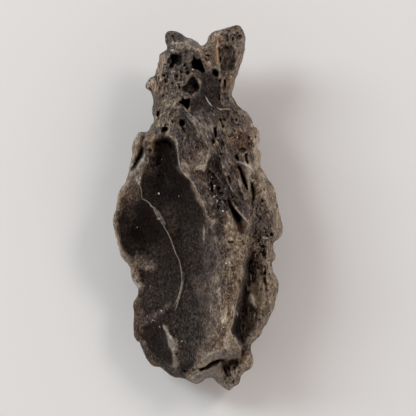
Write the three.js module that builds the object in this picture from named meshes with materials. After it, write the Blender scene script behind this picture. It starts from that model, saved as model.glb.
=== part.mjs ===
// Darwin glass specimen: one natural piece of impact glass, a melted splash that froze while it
// was being twisted and was later split along two long shell-shaped fractures.
//
// Millimetres, +Z up, +Y towards the horned end. The origin lies under the middle of the piece,
// on the plane that it rests on. The form is set out as a relief map: an outline, the crests and
// troughs seen from above, and the keels seen from below. Two membranes are stretched over those
// lines, one for the upper side and one for the lower, and the space between them is skinned.

import * as THREE from 'three';

// ---------------------------------------------------------------- driving dimensions

const LENGTH = 50;             // horned end to the lowest lobe, along Y
const WIDTH = 23.4;            // left edge to the lumpy flange, along X
const HEIGHT = 14.6;           // rest plane to the ribbed crest
const CELL = 0.8;              // spacing of the skin's vertices
const RELIEF_CELL = 0.3;       // spacing of the grid that the membranes are solved on
const LINE_STEP = RELIEF_CELL * 0.7; // spacing of the points along a feature line
const MIDDLE_HEIGHT = 6;       // what the membranes start from where no line lies near
const EDGE_HALF = 0.5;         // half the thickness of the finest edge that the skin can carry
const EDGE_ROUNDING = 0.6;     // width over which the upper and the lower side meet
const BUBBLE_LIP = 0.25;       // width over which a bubble's mouth is rounded
const LUMP = 2.6;              // spacing of the melt lumps on the weathered faces
const LUMP_HEIGHT = 0.55;      // how far a lump swells or sinks the surface
const STEEPEST_LUMP = 1.6;     // lumps stop growing on faces steeper than this, as secant of the slope
const OUTLINE_LUMP = 0.4;      // share of a lump's swell that also moves the outline
const FLANK = [0.3, 0.6];      // share of the thickness over which one side's roughness gives way
const FLAT_SNAP = 0.12;        // the skin is worn dead flat where it comes this close to the rest plane
const FILL_DEPTH = 0.05;       // value given to a sample that is filled or cleared by hand
const FRAME = { west: -13.2, east: 13.2, south: -26.6, north: 26.6, floor: -1.2, top: 17 };

// ---------------------------------------------------------------- outline

// x, y, height of the edge, half its thickness; clockwise from the left horn
const RIM = [
  [-4.3, 23.5, 8.2, 0.8], [-3.9, 24, 8.2, 0.7], [-3, 24, 8.3, 0.7], [-2.2, 23.65, 8.4, 0.8],
  [-1.6, 23.2, 8.3, 0.8], [-0.9, 23, 8.2, 0.8], [-0.2, 22.5, 8.2, 0.9], [0.4, 22.1, 8.2, 0.9],
  [0.9, 22.1, 8.2, 0.9], [1.4, 22.6, 8.4, 0.8], [1.7, 23.4, 8.5, 0.7], [2.3, 24, 8.7, 0.7],
  [3.5, 24.3, 9, 0.7], [4.6, 24.75, 9.1, 0.6], [5.6, 25, 9.1, 0.5], [6.2, 24.4, 8.9, 0.6],
  [6.5, 23.2, 8.7, 0.7], [6.5, 22, 8.5, 0.7], [6.2, 20.5, 8.2, 0.8], [5.9, 19.3, 7.9, 0.8],
  [5.4, 18.2, 7.5, 0.9], [5, 17.2, 7.1, 1], [4.8, 16.2, 6.8, 1.1], [4.65, 15.3, 6.6, 1.1],
  [5.1, 14.6, 6.4, 1.1], [5.4, 14.05, 6.3, 1.1], [6.1, 13.7, 6.1, 1.1], [6.9, 13, 5.9, 1.1],
  [7.2, 12.1, 5.8, 1.2], [7.7, 11.1, 5.7, 1.3], [8.3, 10.5, 5.6, 1.4], [8.5, 9.7, 5.6, 1.4],
  [8.4, 8.6, 5.6, 1.3], [8.2, 8, 5.6, 1.1], [8.65, 7.5, 5.5, 1.3], [8.6, 6.3, 5.4, 1.3],
  [8.6, 5.3, 5.4, 1.2], [9.1, 4.9, 5.3, 1.3], [9.7, 4.1, 5.2, 1.5], [10.4, 3.1, 5.1, 1.6],
  [10.8, 1.8, 5, 1.7], [11, 0.2, 5, 1.8], [11.3, -1.3, 5, 1.9], [11.7, -2.9, 5, 1.8],
  [11.3, -4, 5, 1.6], [10.3, -4.8, 5, 1.1], [10.35, -5.6, 5, 1.1], [10.6, -6.9, 4.9, 1.1],
  [10.1, -7.6, 4.9, 1.1], [10.4, -9, 4.8, 1.2], [10.95, -10.8, 4.7, 1.2], [10.6, -12.4, 4.6, 1.1],
  [10.3, -13.9, 4.6, 1], [9.7, -15.2, 4.6, 1], [9, -16.5, 4.6, 1], [8.5, -17.6, 4.6, 1],
  [7.5, -18.4, 4.6, 1.1], [7.3, -19.3, 4.5, 1.2], [7.65, -20.8, 4.4, 1.3], [7.4, -21.9, 4.3, 1.2],
  [6.4, -22.7, 4.1, 1], [5.9, -23.4, 3.9, 0.9], [5.6, -24.2, 3.8, 0.9], [5, -24.5, 3.7, 0.9],
  [4.3, -25, 3.6, 0.8], [3.5, -24.5, 3.7, 0.9], [2.7, -23.8, 3.9, 0.9], [2, -23.35, 4.1, 0.9],
  [1.2, -23.6, 4.2, 0.8], [0.6, -24.2, 4.2, 0.7], [-0.1, -24.4, 4.2, 0.6], [-0.6, -24.1, 4.2, 0.6],
  [-1, -23.6, 4.2, 0.6], [-2, -23.3, 4, 0.6], [-3, -23.25, 3.8, 0.5], [-3.9, -22.7, 3.7, 0.5],
  [-5, -21.85, 3.7, 0.5], [-6.1, -21.5, 3.7, 0.5], [-6.8, -20.8, 3.7, 0.5], [-7.3, -19.6, 3.8, 0.5],
  [-7.65, -18.8, 3.9, 0.5], [-7.85, -18.3, 4, 0.5], [-8.3, -18.1, 4.1, 0.6], [-8.6, -17.2, 4.3, 0.7],
  [-8.65, -15.8, 4.5, 0.7], [-8.6, -14.4, 4.7, 0.7], [-8.75, -13.3, 4.9, 0.7], [-8.5, -12.7, 5, 0.6],
  [-8, -12.1, 5, 0.5], [-7.8, -11.4, 4.9, 0.4], [-7.95, -10.85, 4.8, 0.35], [-8.5, -10.2, 4.9, 0.35],
  [-9, -9.4, 5.1, 0.35], [-9, -8.3, 5.4, 0.35], [-9.25, -7.6, 5.6, 0.35], [-9.9, -7, 5.8, 0.4],
  [-10.5, -6.3, 6, 0.4], [-10.8, -5.3, 6.3, 0.35], [-11.1, -3.9, 6.6, 0.3], [-11.35, -2.6, 6.7, 0.3],
  [-11.6, -1.5, 6.8, 0.3], [-11.3, -0.4, 6.8, 0.3], [-11, 0.8, 6.7, 0.35], [-10.75, 1.8, 6.6, 0.4],
  [-10.2, 2.8, 6.5, 0.45], [-9.6, 3.6, 6.3, 0.5], [-9.2, 4.6, 5.6, 0.5], [-9, 5.8, 5, 0.5],
  [-8.85, 7, 4.8, 0.5], [-8.7, 8.5, 4.8, 0.5], [-8.4, 9.6, 4.9, 0.5], [-8, 10.25, 5, 0.5],
  [-7.4, 10.35, 5.3, 0.5], [-6.95, 10.4, 5.8, 0.6], [-6.5, 10.8, 6.4, 0.8], [-6.05, 11.6, 6.8, 1],
  [-5.95, 12.4, 7, 1.1], [-6.05, 13.5, 7, 1.1], [-5.9, 14.5, 7, 1.1], [-6.1, 15.5, 6.9, 1.1],
  [-6.4, 16, 6.8, 1], [-6.95, 16.4, 6.7, 0.9], [-6.85, 17.1, 6.8, 0.9], [-6.4, 17.7, 7, 1],
  [-5.8, 18, 7.2, 1.1], [-5.6, 18.9, 7.4, 1.1], [-5.3, 19.9, 7.6, 1.1], [-5, 20.9, 7.8, 1],
  [-4.5, 21.3, 8, 0.9], [-4.05, 21.5, 8.1, 0.8], [-4.05, 22.2, 8.2, 0.8], [-4.25, 22.9, 8.2, 0.8],
];

// ---------------------------------------------------------------- upper side

// Each line is x, y, z. A keen line stays a crease; an easy one is rounded over.
const KEEN = true;
const EASY = false;

// the two long fracture scoops, the knife ridge between them and their far walls
const SCOOPS = [
  [KEEN, 'knife ridge', [[-7.9, 3.3, 8.8], [-7.6, 2.2, 9.1], [-7.5, 1.2, 9.3], [-6.9, 0.9, 9.6],
    [-6.2, 0.2, 9.9], [-5.7, -0.8, 10], [-5.1, -1.7, 10.1], [-4.4, -2.8, 10], [-3.8, -3.9, 9.8],
    [-3.3, -5.2, 9.5], [-2.9, -6.3, 9.3], [-2.4, -7.4, 9.1], [-2.2, -8.6, 8.95], [-2.1, -9.8, 8.85],
    [-2.3, -11.2, 8.7], [-2.7, -12.4, 8.4], [-3.2, -13.4, 8.1], [-4, -14.2, 7.8]]],
  [EASY, 'foot of the knife ridge', [[-7.6, 0.2, 6.7], [-6.9, -0.9, 6.4], [-6.1, -2.3, 6.4],
    [-5.1, -4.2, 6.6], [-4.2, -6.2, 6.9], [-3.6, -8.2, 7.2], [-3.3, -10, 7.5], [-3.6, -12, 7.4]]],
  [EASY, 'floor of the outer scoop', [[-9.8, -0.8, 6.1], [-9.2, -2.4, 5.4], [-7.6, -3.6, 5.1],
    [-6.3, -5.5, 5.4], [-5.5, -8, 5.9], [-5.2, -10.5, 6.2], [-5.4, -12.5, 6.4]]],
  [EASY, 'head of the outer scoop', [[-10.2, 1.4, 6.7], [-9.4, 2.2, 7.1], [-8.6, 1.6, 7.7]]],
  [EASY, 'floor of the long scoop', [[-5.2, 5.2, 8.2], [-5, 3.4, 8.3], [-4.3, 1.2, 8.4],
    [-3.2, -1.2, 8.4], [-2.2, -4, 8.4], [-1.4, -7, 8.35], [-1.2, -10, 8.3], [-1.4, -13, 8.2],
    [-1.7, -16, 7.9], [-1.8, -19, 7.3], [-1.6, -21.5, 6.3]]],
  [EASY, 'near wall of the long scoop', [[-6.5, 5.5, 8.6], [-6.6, 3.5, 8.6], [-6.3, 1.6, 8.8],
    [-5.3, -0.3, 9.2]]],
  [EASY, 'far wall of the long scoop', [[-3, 4.9, 10.3], [-2.2, 3.5, 10.4], [-1.2, 2, 10.6],
    [-0.5, 0.2, 10.7], [0, -1.8, 10.7], [0.2, -4, 10.5], [0.2, -6.5, 10], [0.2, -9, 9.6],
    [0.2, -12, 9.3], [0, -15, 9], [-0.3, -18, 8.5], [-0.6, -20.5, 7.8]]],
  [KEEN, 'near edge of the long scoop', [[-7.05, 7.2, 9.3], [-7.4, 5.8, 9.2], [-7.65, 4.6, 9],
    [-7.9, 3.3, 8.8]]],
  [KEEN, 'brow of the cave', [[-6.9, 9.2, 9.9], [-6.2, 9.05, 10.4], [-5.7, 9.35, 10.9],
    [-4.8, 9.45, 11.5], [-4, 9.6, 11.9], [-3.4, 9.4, 12.1]]],
  [KEEN, 'back of the cave', [[-6.4, 8.2, 9.3], [-5.6, 8.7, 9.2], [-4.7, 9, 9.2], [-3.9, 8.9, 9.4],
    [-3.4, 8.3, 9.9]]],
  [EASY, 'floor of the cave', [[-6.5, 6.9, 9], [-5.6, 7.3, 8.9], [-4.6, 7.5, 8.9], [-3.7, 7.2, 9.2],
    [-3.15, 6.4, 9.8]]],
  [KEEN, 'high ridge', [[-3.4, 9.4, 12.1], [-2.95, 8.2, 12.4], [-2.7, 7, 12.7], [-2.5, 6, 12.9],
    [-2.2, 5, 13.1], [-1.6, 4.4, 13.3], [-1, 3.9, 13.5], [-0.4, 3, 13.7], [0, 2.2, 13.8],
    [0.35, 1.2, 13.9], [0.9, 0.2, 13.9], [1.3, -0.8, 13.8], [1.7, -1.6, 13.6], [2.1, -2.5, 13.3],
    [2.3, -3.4, 13]]],
  [KEEN, 'crack across the lower left', [[-7.4, -15.5, 5.6], [-6.2, -15.5, 5.9], [-5, -15.1, 6.4],
    [-4, -14.7, 7]]],
  [KEEN, 'pale crest', [[-4.8, -15.7, 7.5], [-4.45, -16.6, 7.8], [-4, -17.6, 7.9], [-3.55, -18.6, 7.9],
    [-3.3, -19.6, 7.6], [-3.2, -20.6, 7], [-3, -21.6, 6.2], [-2.6, -22.3, 5.6]]],
  [EASY, 'foot of the pale crest', [[-5.2, -16.4, 6.3], [-5, -17.6, 6.2], [-4.6, -18.9, 6.1],
    [-4.1, -20.3, 5.7], [-3.8, -21.6, 5.1]]],
  [EASY, 'lower left floor', [[-7.2, -13.5, 5.9], [-7, -17, 5.5], [-6.2, -19.2, 5.1],
    [-5.2, -20.9, 4.6]]],
];

// the thin blade behind the left edge
const BLADE = [
  [KEEN, 'shoulder above the blade', [[-6.9, 9.9, 9.6], [-7.1, 8.8, 9.4], [-7.1, 7.6, 9.3],
    [-7.3, 6.8, 9.1], [-8, 5.8, 8.7], [-8.7, 4.8, 8.2], [-9.3, 3.95, 7.4]]],
  [KEEN, 'slot beside the blade', [[-7.25, 9.6, 5.6], [-7.45, 8.3, 5.2], [-7.65, 7.2, 5],
    [-8.25, 6.2, 5], [-8.85, 5.1, 5.2]]],
  [EASY, 'crest of the blade', [[-7.9, 9.9, 6.2], [-8.2, 8.6, 6.2], [-8.4, 7.2, 6], [-8.75, 5.9, 5.7]]],
];

// the ribbed middle, the wedge facet and the torn hollow right of it
const MIDDLE = [
  [KEEN, 'ribbed crest', [[-1.9, 13.3, 13.2], [-1.3, 12.5, 13.8], [-0.6, 11.6, 14.3], [0, 10.8, 14.6],
    [0.7, 9.9, 14.6], [1.2, 9.1, 14.3], [1.7, 8.2, 13.9]]],
  [EASY, 'hollow left of the ribs', [[-2.4, 12.2, 12.2], [-1.9, 10.9, 12.4], [-1.3, 9.9, 12.9],
    [-0.6, 9, 13.2]]],
  [KEEN, 'upper edge of the brown facet', [[-6.05, 12.1, 8.4], [-5.3, 12.45, 9.6], [-4.3, 13, 10.8],
    [-3.4, 13.8, 11.7], [-2.7, 14.1, 12.2], [-1.9, 13.3, 13.2]]],
  [EASY, 'brown facet', [[-5.9, 11, 9.5], [-4.6, 11.2, 10.7], [-3.6, 11.3, 11.6], [-2.9, 10.2, 12.3]]],
  [KEEN, 'edge of the bevel', [[-1, 3.9, 13.5], [0, 4, 13.3], [0.7, 3, 13.4], [1.3, 2.1, 13.4],
    [1.9, 1.3, 13.4], [2.7, 0.3, 13.3], [3.4, -0.6, 13.2], [3.9, -1.5, 13.2]]],
  [KEEN, 'foot of the wedge', [[-2.2, 5, 13.1], [-1, 5, 13.2], [0, 5, 13.3], [1, 5.1, 13.3]]],
  [KEEN, 'right edge of the wedge', [[1.7, 8.2, 13.9], [1.6, 7.2, 13.7], [1.3, 6.1, 13.5],
    [1, 5.1, 13.3]]],
  [EASY, 'under the wedge', [[-0.9, 4.4, 12.6], [0.2, 4.5, 12.3], [1.3, 4.3, 12.1]]],
  [EASY, 'torn hollow', [[2.3, 8.6, 12.4], [2.3, 7.2, 11.9], [2, 5.8, 11.7], [1.9, 4.6, 11.5],
    [2.1, 3.5, 11.4], [2.5, 2.2, 11.5], [2.9, 1, 11.8]]],
  [EASY, 'middle of the tear', [[3.4, 7.6, 12.6], [3.9, 5.6, 12.3], [4.1, 3.6, 12.1], [4, 1.9, 12]]],
  [EASY, 'right of the tear', [[5.2, 4.4, 11.8], [5.6, 2.6, 12], [6, 0.8, 12.1], [6.5, -0.6, 12.2]]],
  [EASY, 'grey slope', [[1.6, 12.4, 12.7], [2.2, 11, 12.6], [2.4, 9.8, 12.4]]],
  [KEEN, 'long crevice', [[5.75, 5.5, 10], [6, 4.6, 9.3], [6.3, 3.8, 9.2], [6.6, 3, 9.4],
    [6.85, 2.5, 10.2]]],
  [KEEN, 'short crevice', [[7.35, 3.2, 9], [7.55, 2.2, 8.4], [7.7, 1.1, 8.9]]],
  [KEEN, 'pale lip over the crevice', [[5.4, 6.3, 11.2], [6.2, 6, 10.9], [7, 5.5, 10.4],
    [7.6, 4.9, 9.8]]],
  [EASY, 'beside the crevice', [[6.5, 4.9, 10.9], [7, 3.9, 10.7], [7.2, 2.6, 10.9], [7.1, 1, 11.2],
    [7.2, -0.6, 11.4]]],
  [EASY, 'upper shoulder', [[4, 11.8, 11], [4.6, 10.2, 11], [4.9, 8.6, 11.2]]],
  [EASY, 'lower shoulder', [[6, 12, 9], [6.8, 10.4, 8.9], [6.9, 8.8, 9], [7.2, 7.2, 8.6]]],
];

// the convex tan band, the slanting notch above it and the cliff along its right side
const BAND = [
  [EASY, 'left side of the band', [[2.3, -3.4, 13], [3, -5.6, 12.5], [2.7, -8, 11.7], [1.9, -9.6, 11],
    [1.5, -10.8, 10.6], [1.6, -12, 10.5], [1.9, -13.5, 10.5], [1.6, -15, 10.2], [1.5, -17, 9.8],
    [1, -18.6, 9.4], [0.4, -20, 8.9], [0, -21.2, 8.4]]],
  [EASY, 'crest of the band', [[3.9, -1.5, 13.2], [4.4, -3, 13.3], [4.9, -5, 13.3], [4.8, -7, 13.1],
    [4.5, -9, 12.9], [4.2, -11, 12.6], [3.9, -13, 12.4], [3.8, -15, 12.1], [3.8, -17, 11.7],
    [4.2, -18.5, 11.4]]],
  [EASY, 'grey facet', [[0.9, -1.8, 12.2], [0.8, -4, 11.6], [0.8, -6, 11], [0.9, -8, 10.5]]],
  [KEEN, 'left edge of the notch', [[3.7, 1.1, 12.4], [4.2, -0.1, 12.9], [4.7, -1.2, 13.1],
    [5.15, -2.2, 13.1], [5.5, -3.3, 12.9]]],
  [KEEN, 'floor of the notch', [[4.2, 0.8, 11], [4.8, -0.2, 9.6], [5.4, -1.4, 9.4], [5.9, -2.4, 10.6],
    [6, -3.6, 12]]],
  [KEEN, 'right edge of the notch', [[4.6, 1, 12.2], [5.2, -0.1, 12.5], [5.8, -0.8, 12.6],
    [6.5, -1.6, 12.5], [7, -2.1, 12.3]]],
  [KEEN, 'edge of the cliff', [[7, -2.1, 12.3], [6.9, -3.2, 12.4], [6.85, -4.5, 12.4],
    [6.8, -5.5, 12.3], [6.5, -6.7, 12.2], [6.2, -7.6, 12.1], [6.3, -9, 12], [5.95, -9.9, 11.9],
    [5.7, -11, 11.8], [5.45, -12.1, 11.6], [5.2, -13.2, 11.5], [5.05, -14.2, 11.4],
    [4.95, -15.3, 11.3], [4.7, -16.3, 11.2], [5, -17.4, 11.1], [5.4, -18.3, 11], [5.75, -19.3, 10.8]]],
  [KEEN, 'foot of the cliff', [[7.9, -2.4, 9.8], [7.8, -4.5, 9], [7.7, -5.7, 8.2], [7.4, -6.8, 7.2],
    [7, -8, 6.6], [7.1, -9.3, 6.2], [6.8, -10.3, 6.1], [6.5, -11.4, 6], [6.2, -12.6, 5.9],
    [6, -13.8, 5.8], [5.8, -15, 5.7], [5.5, -16.3, 5.6], [5.8, -17.4, 5.6], [6.1, -18.4, 5.6],
    [6.4, -19.4, 5.6]]],
  [KEEN, 'broken ledge on the cliff', [[7.4, -3.2, 11.1], [7.2, -5.2, 10.2], [6.9, -6.7, 10.4],
    [6.6, -8, 9.2], [6.6, -9.4, 9.6], [6.2, -10.8, 8.6], [5.9, -12.2, 9.2], [5.6, -13.8, 8],
    [5.3, -15.6, 8.8], [5.2, -16.8, 7.8], [5.7, -18.2, 8.6]]],
];

// the weathered flange down the right side, lower than the band
const FLANGE = [
  [EASY, 'floor of the cleft', [[7.8, -6.6, 7.6], [7.5, -8.6, 6.9], [7.2, -10.6, 6.6],
    [6.9, -12.6, 6.4], [6.7, -14.6, 6.2], [6.4, -16.6, 6], [6.6, -18.5, 5.8]]],
  [EASY, 'lower crest', [[9, -5.4, 9], [9.1, -7.3, 8.8], [9.3, -9, 8.6], [9.4, -11, 8.4],
    [9.1, -13, 8], [8.5, -15, 7.5], [7.9, -16.6, 7], [7.2, -17.7, 6.5]]],
  [EASY, 'upper crest', [[8.7, 4.2, 8.9], [9.2, 2.2, 9.3], [9.4, 0.2, 9.4], [9.7, -1.8, 9.2],
    [9.9, -3.3, 8.9]]],
  [EASY, 'inner slope', [[7.9, 3.4, 9.3], [8, 1.4, 9.6], [7.9, -0.6, 9.8]]],
];

// the bubbly head with its left horn, the leaf-shaped ear and the smooth saddle between
const HEAD = [
  [KEEN, 'horn ridge', [[-3.8, 23.2, 9.5], [-3.2, 22.5, 10.2], [-1.8, 22.3, 10.7], [-0.6, 21.6, 11.2],
    [0.2, 21, 11.5], [0.9, 20.2, 11.7], [1.2, 19.2, 11.5]]],
  [EASY, 'top of the head', [[-3.6, 21.4, 10.6], [-2.2, 20.9, 11.6], [-1, 20.2, 12],
    [-0.4, 18.9, 12.3]]],
  [EASY, 'middle of the head', [[-4.4, 19.2, 10.2], [-3.2, 18.6, 11.8], [-2, 18, 12.5],
    [-1.4, 16.2, 12.7], [-2.4, 15.2, 12.4]]],
  [EASY, 'left of the head', [[-5.2, 17.2, 8.9], [-4.4, 16.2, 10.4], [-4.2, 14.8, 10.8],
    [-4.9, 13.6, 9.6]]],
  [KEEN, 'rim of the saddle', [[1.2, 19.2, 11.5], [1.8, 18.5, 11.4], [3, 18.7, 10.6],
    [3.35, 18, 10.4], [3.5, 17.2, 10.3], [3.35, 16.3, 10.2], [3, 15.6, 10.3]]],
  [EASY, 'floor of the saddle', [[0.6, 17.6, 11.6], [1.6, 16.6, 10.9], [2.2, 15.6, 10.5],
    [2.6, 14.6, 10.4]]],
  [KEEN, 'foot of the saddle', [[1.2, 15, 11.4], [1.5, 14.4, 11.6], [2, 13.8, 11.6], [2.7, 13.4, 11.5],
    [3.4, 13.25, 11.2], [4.2, 13.4, 10.6]]],
  [KEEN, 'slot beside the stem', [[3.55, 18.2, 8.8], [3.75, 17.2, 8.4], [3.6, 16.2, 8.6]]],
  [EASY, 'stem of the ear', [[4.4, 18.2, 9.2], [4.3, 17, 8.9], [4.1, 15.6, 8.9]]],
  [KEEN, 'buff ridge of the ear', [[3, 24, 9.6], [2.95, 22.6, 10.5], [2.85, 21.2, 10.9],
    [2.85, 19.9, 10.9], [3.1, 19, 10.5]]],
  [KEEN, 'left of the ear panel', [[3.2, 21.9, 10], [3.15, 20.6, 10], [3.3, 19.2, 9.8]]],
  [EASY, 'middle of the ear panel', [[4.2, 21.6, 9.7], [4.2, 20.4, 9.5], [4.2, 19.3, 9.3]]],
  [KEEN, 'right of the ear panel', [[5, 22, 9.9], [5.1, 20.6, 9.7], [4.9, 19.2, 9.4]]],
  [EASY, 'rim of the ear', [[3.6, 23.5, 10], [4.7, 24, 10.2], [5.5, 23.7, 10.3], [5.8, 22.2, 10.2],
    [5.6, 20.6, 10], [5.2, 19, 9.6]]],
  [EASY, 'dip between head and ear', [[1.4, 21.3, 10.2], [2.1, 20.2, 10.6], [2.2, 19.2, 10.9]]],
];

// the rolled lip at the foot, with the tongue and the lobes below it
const FOOT = [
  [KEEN, 'edge of the lip', [[-0.1, -21.9, 7.4], [0.6, -21.95, 7.9], [1.3, -21.4, 8.5],
    [2.1, -20.85, 9], [3, -20.5, 9.3], [4, -20.4, 9.5], [5, -20.4, 9.7], [5.7, -20.1, 9.9],
    [5.75, -19.3, 10.8]]],
  [EASY, 'crest of the lip', [[0.2, -21.2, 8.4], [1.1, -20.6, 9.2], [2.2, -20, 9.9], [3.5, -19.8, 10.3],
    [5, -19.8, 10.5]]],
  [KEEN, 'dip behind the lip', [[0.8, -20.2, 8.9], [1.8, -19.6, 9.4], [3.4, -19.3, 10.2],
    [4.2, -19.5, 10.5]]],
  [KEEN, 'under the lip', [[0.5, -22.35, 6.2], [1.5, -21.8, 5.8], [2.6, -21.15, 5.6],
    [3.6, -20.9, 5.7], [4.8, -20.9, 5.2], [5.9, -20.6, 5.2], [6.2, -19.4, 5.6]]],
  [EASY, 'tongue', [[0.4, -23, 5.9], [1.6, -22.6, 6], [2.8, -21.9, 6.1], [3.6, -21.2, 6.3]]],
  [KEEN, 'edge of the tongue', [[3.6, -21.2, 6.3], [3.1, -22, 6.1], [2.75, -22.8, 5.6],
    [2.5, -23.3, 5.1]]],
  [KEEN, 'slot of the lobe', [[3.7, -21.6, 4.8], [3.8, -22.4, 4.6], [4.1, -23, 4.7]]],
  [EASY, 'grey lobe', [[4.6, -22.2, 5.7], [4.5, -23.2, 5.6], [4.5, -24.1, 5.2]]],
  [EASY, 'tan lobe', [[6.4, -20.6, 6.3], [6.6, -21.3, 6.5], [6.3, -22, 6.1]]],
];

// ---------------------------------------------------------------- lower side

// Three keels reach the plane z = 0 and are worn flat there. Between them the melt left two
// shell-shaped hollows and a few flow ridges that run the way the piece is twisted.
const UNDERSIDE = [
  [KEEN, 'head keel', [[-0.4, 14, 2.3], [0.8, 11, 0.4], [1.3, 8.8, -0.9], [1.5, 6.6, -0.9],
    [2.3, 3.4, 0.8]]],
  [KEEN, 'right keel', [[4.2, -4.5, 0.9], [4.8, -7.6, -0.9], [4.7, -10.4, -0.9], [4, -14, 0.6],
    [3, -19, 2]]],
  [KEEN, 'left keel', [[-4, 3, 2], [-5.4, -1.6, 0.6], [-5.3, -5, -0.9], [-5, -7.8, -0.9],
    [-4.6, -12, 0.8], [-3.6, -18, 2.2]]],
  [EASY, 'long hollow', [[-1.2, 3, 2.4], [-0.4, -2, 3], [0, -7, 3.2], [-0.6, -12, 2.7],
    [-0.8, -16, 2.4]]],
  [KEEN, 'flow ridge', [[3, 2.4, 1], [2, -1.5, 1.5], [1.7, -5.5, 1.9], [2.1, -9.5, 1.7],
    [1.6, -13.5, 1.6]]],
  [EASY, 'shell hollow', [[4.6, 9, 3], [5.4, 5.5, 3.1], [5.3, 2, 2.8]]],
  [KEEN, 'edge of the shell hollow', [[2.8, 11.6, 1.7], [3.4, 8.6, 1.4], [3.6, 5.4, 1.2],
    [4.4, 1.6, 1.2], [6, -0.6, 1.3], [7.8, -1, 1.6]]],
  [EASY, 'under the right flange', [[7.4, 7.6, 2.8], [8.6, 3, 2.3], [9, -4, 1.9], [8.4, -9, 1.6],
    [7, -15, 2]]],
  [EASY, 'under the left edge', [[-7.6, 5.6, 3.4], [-8.9, 0, 3.9], [-8.6, -5, 3.3], [-6.9, -11, 2.4],
    [-6.4, -16, 2.6]]],
  [KEEN, 'seam under the head', [[-4.8, 10.6, 3.4], [-2.6, 12.8, 2.7], [-1.6, 16.4, 3.2],
    [-1.8, 20, 4.6], [-2.8, 22.6, 6]]],
  [EASY, 'right of the seam', [[0.8, 16.4, 4.2], [0.4, 19.4, 5.4]]],
  [EASY, 'left of the seam', [[-3.9, 15.4, 4.3], [-3.8, 18.8, 5.1]]],
  [EASY, 'under the ear', [[3.6, 17, 4.9], [4.2, 20, 6.1], [4.6, 23, 7]]],
];

// ---------------------------------------------------------------- bubbles and rough places

// burst bubbles: x, y, radius, how far the centre lies below the surface
const BUBBLES = [
  [-2.85, 20.2, 0.85, 0.35], [-0.35, 20.3, 0.95, 0.45], [0.5, 19.1, 0.7, 0.3], [-0.8, 16.9, 1.25, 0.1],
  [-1.7, 14.45, 0.9, 0.4], [-2, 11.6, 0.6, 0.2], [-4.5, 10.4, 0.65, 0.2], [4.5, -21.4, 0.9, 0.6],
  [9.1, -9.3, 0.75, 0.1], [8.9, -5.1, 0.8, 0.1], [8.2, -6.9, 0.7, 0.1],
];

// burst bubbles of the lower side, in the same order
const BUBBLES_BELOW = [
  [-1.2, 6.2, 1.3, 0.2], [0.6, -6, 1.1, 0.2], [7.4, -1.2, 1, 0.2], [-7.4, -9.2, 0.9, 0.2],
  [2.2, -15.6, 0.9, 0.2], [-2.6, 15.2, 1, 0.2], [-1.6, -18.6, 0.9, 0.1], [5.8, 7.4, 0.9, 0.1],
];

// weathered, lumpy places of the upper side: x, y, reach, strength
const ROUGH_BELOW = 0.7;       // strength all over the lower side
const ROUGH_LEAST = 0.15;      // strength inside the fracture scoops
const ROUGH = [
  [-2.5, 19, 5, 1], [-4, 13, 3, 0.8], [6, 10, 4, 0.9], [4, 5, 3.4, 0.8], [9.5, 0, 3.6, 1],
  [9, -6, 3, 1], [9, -12, 3.4, 0.9], [7, -18, 2.6, 0.7], [4.5, 21, 2.4, 0.4], [5, -22.5, 2.6, 0.6],
];

// ---------------------------------------------------------------- membranes

// A Catmull-Rom curve through rows of any width, with a point about every `step` in plan
function curve(rows, closed, step) {
  const last = rows.length - 1;
  const at = (i) => rows[closed ? (i + rows.length) % rows.length : THREE.MathUtils.clamp(i, 0, last)];
  const spans = closed ? rows.length : rows.length - 1;
  const points = [];
  for (let i = 0; i < spans; i++) {
    const [a, b, c, d] = [at(i - 1), at(i), at(i + 1), at(i + 2)];
    const steps = Math.max(1, Math.ceil(Math.hypot(c[0] - b[0], c[1] - b[1]) / step));
    for (let s = 0; s < steps; s++) {
      const t = s / steps;
      points.push(b.map((_, k) => 0.5 * (
        2 * b[k] + (c[k] - a[k]) * t
        + (2 * a[k] - 5 * b[k] + 4 * c[k] - d[k]) * t ** 2
        + (3 * b[k] - a[k] - 3 * c[k] + d[k]) * t ** 3)));
    }
  }
  if (!closed) points.push(rows[last]);
  return points;
}

// A height sheet over the frame, read by bilinear interpolation
class Sheet {
  constructor(cell) {
    this.cell = cell;
    this.nx = Math.round((FRAME.east - FRAME.west) / cell) + 1;
    this.ny = Math.round((FRAME.north - FRAME.south) / cell) + 1;
    this.height = new Float64Array(this.nx * this.ny);
  }

  nearest(x, y) {
    const i = Math.round((x - FRAME.west) / this.cell);
    const j = Math.round((y - FRAME.south) / this.cell);
    return j * this.nx + i;
  }

  at(x, y) {
    const u = THREE.MathUtils.clamp((x - FRAME.west) / this.cell, 0, this.nx - 1.001);
    const v = THREE.MathUtils.clamp((y - FRAME.south) / this.cell, 0, this.ny - 1.001);
    const i = Math.floor(u);
    const j = Math.floor(v);
    const k = j * this.nx + i;
    const low = THREE.MathUtils.lerp(this.height[k], this.height[k + 1], u - i);
    const high = THREE.MathUtils.lerp(this.height[k + this.nx], this.height[k + this.nx + 1], u - i);
    return THREE.MathUtils.lerp(low, high, v - j);
  }
}

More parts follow.
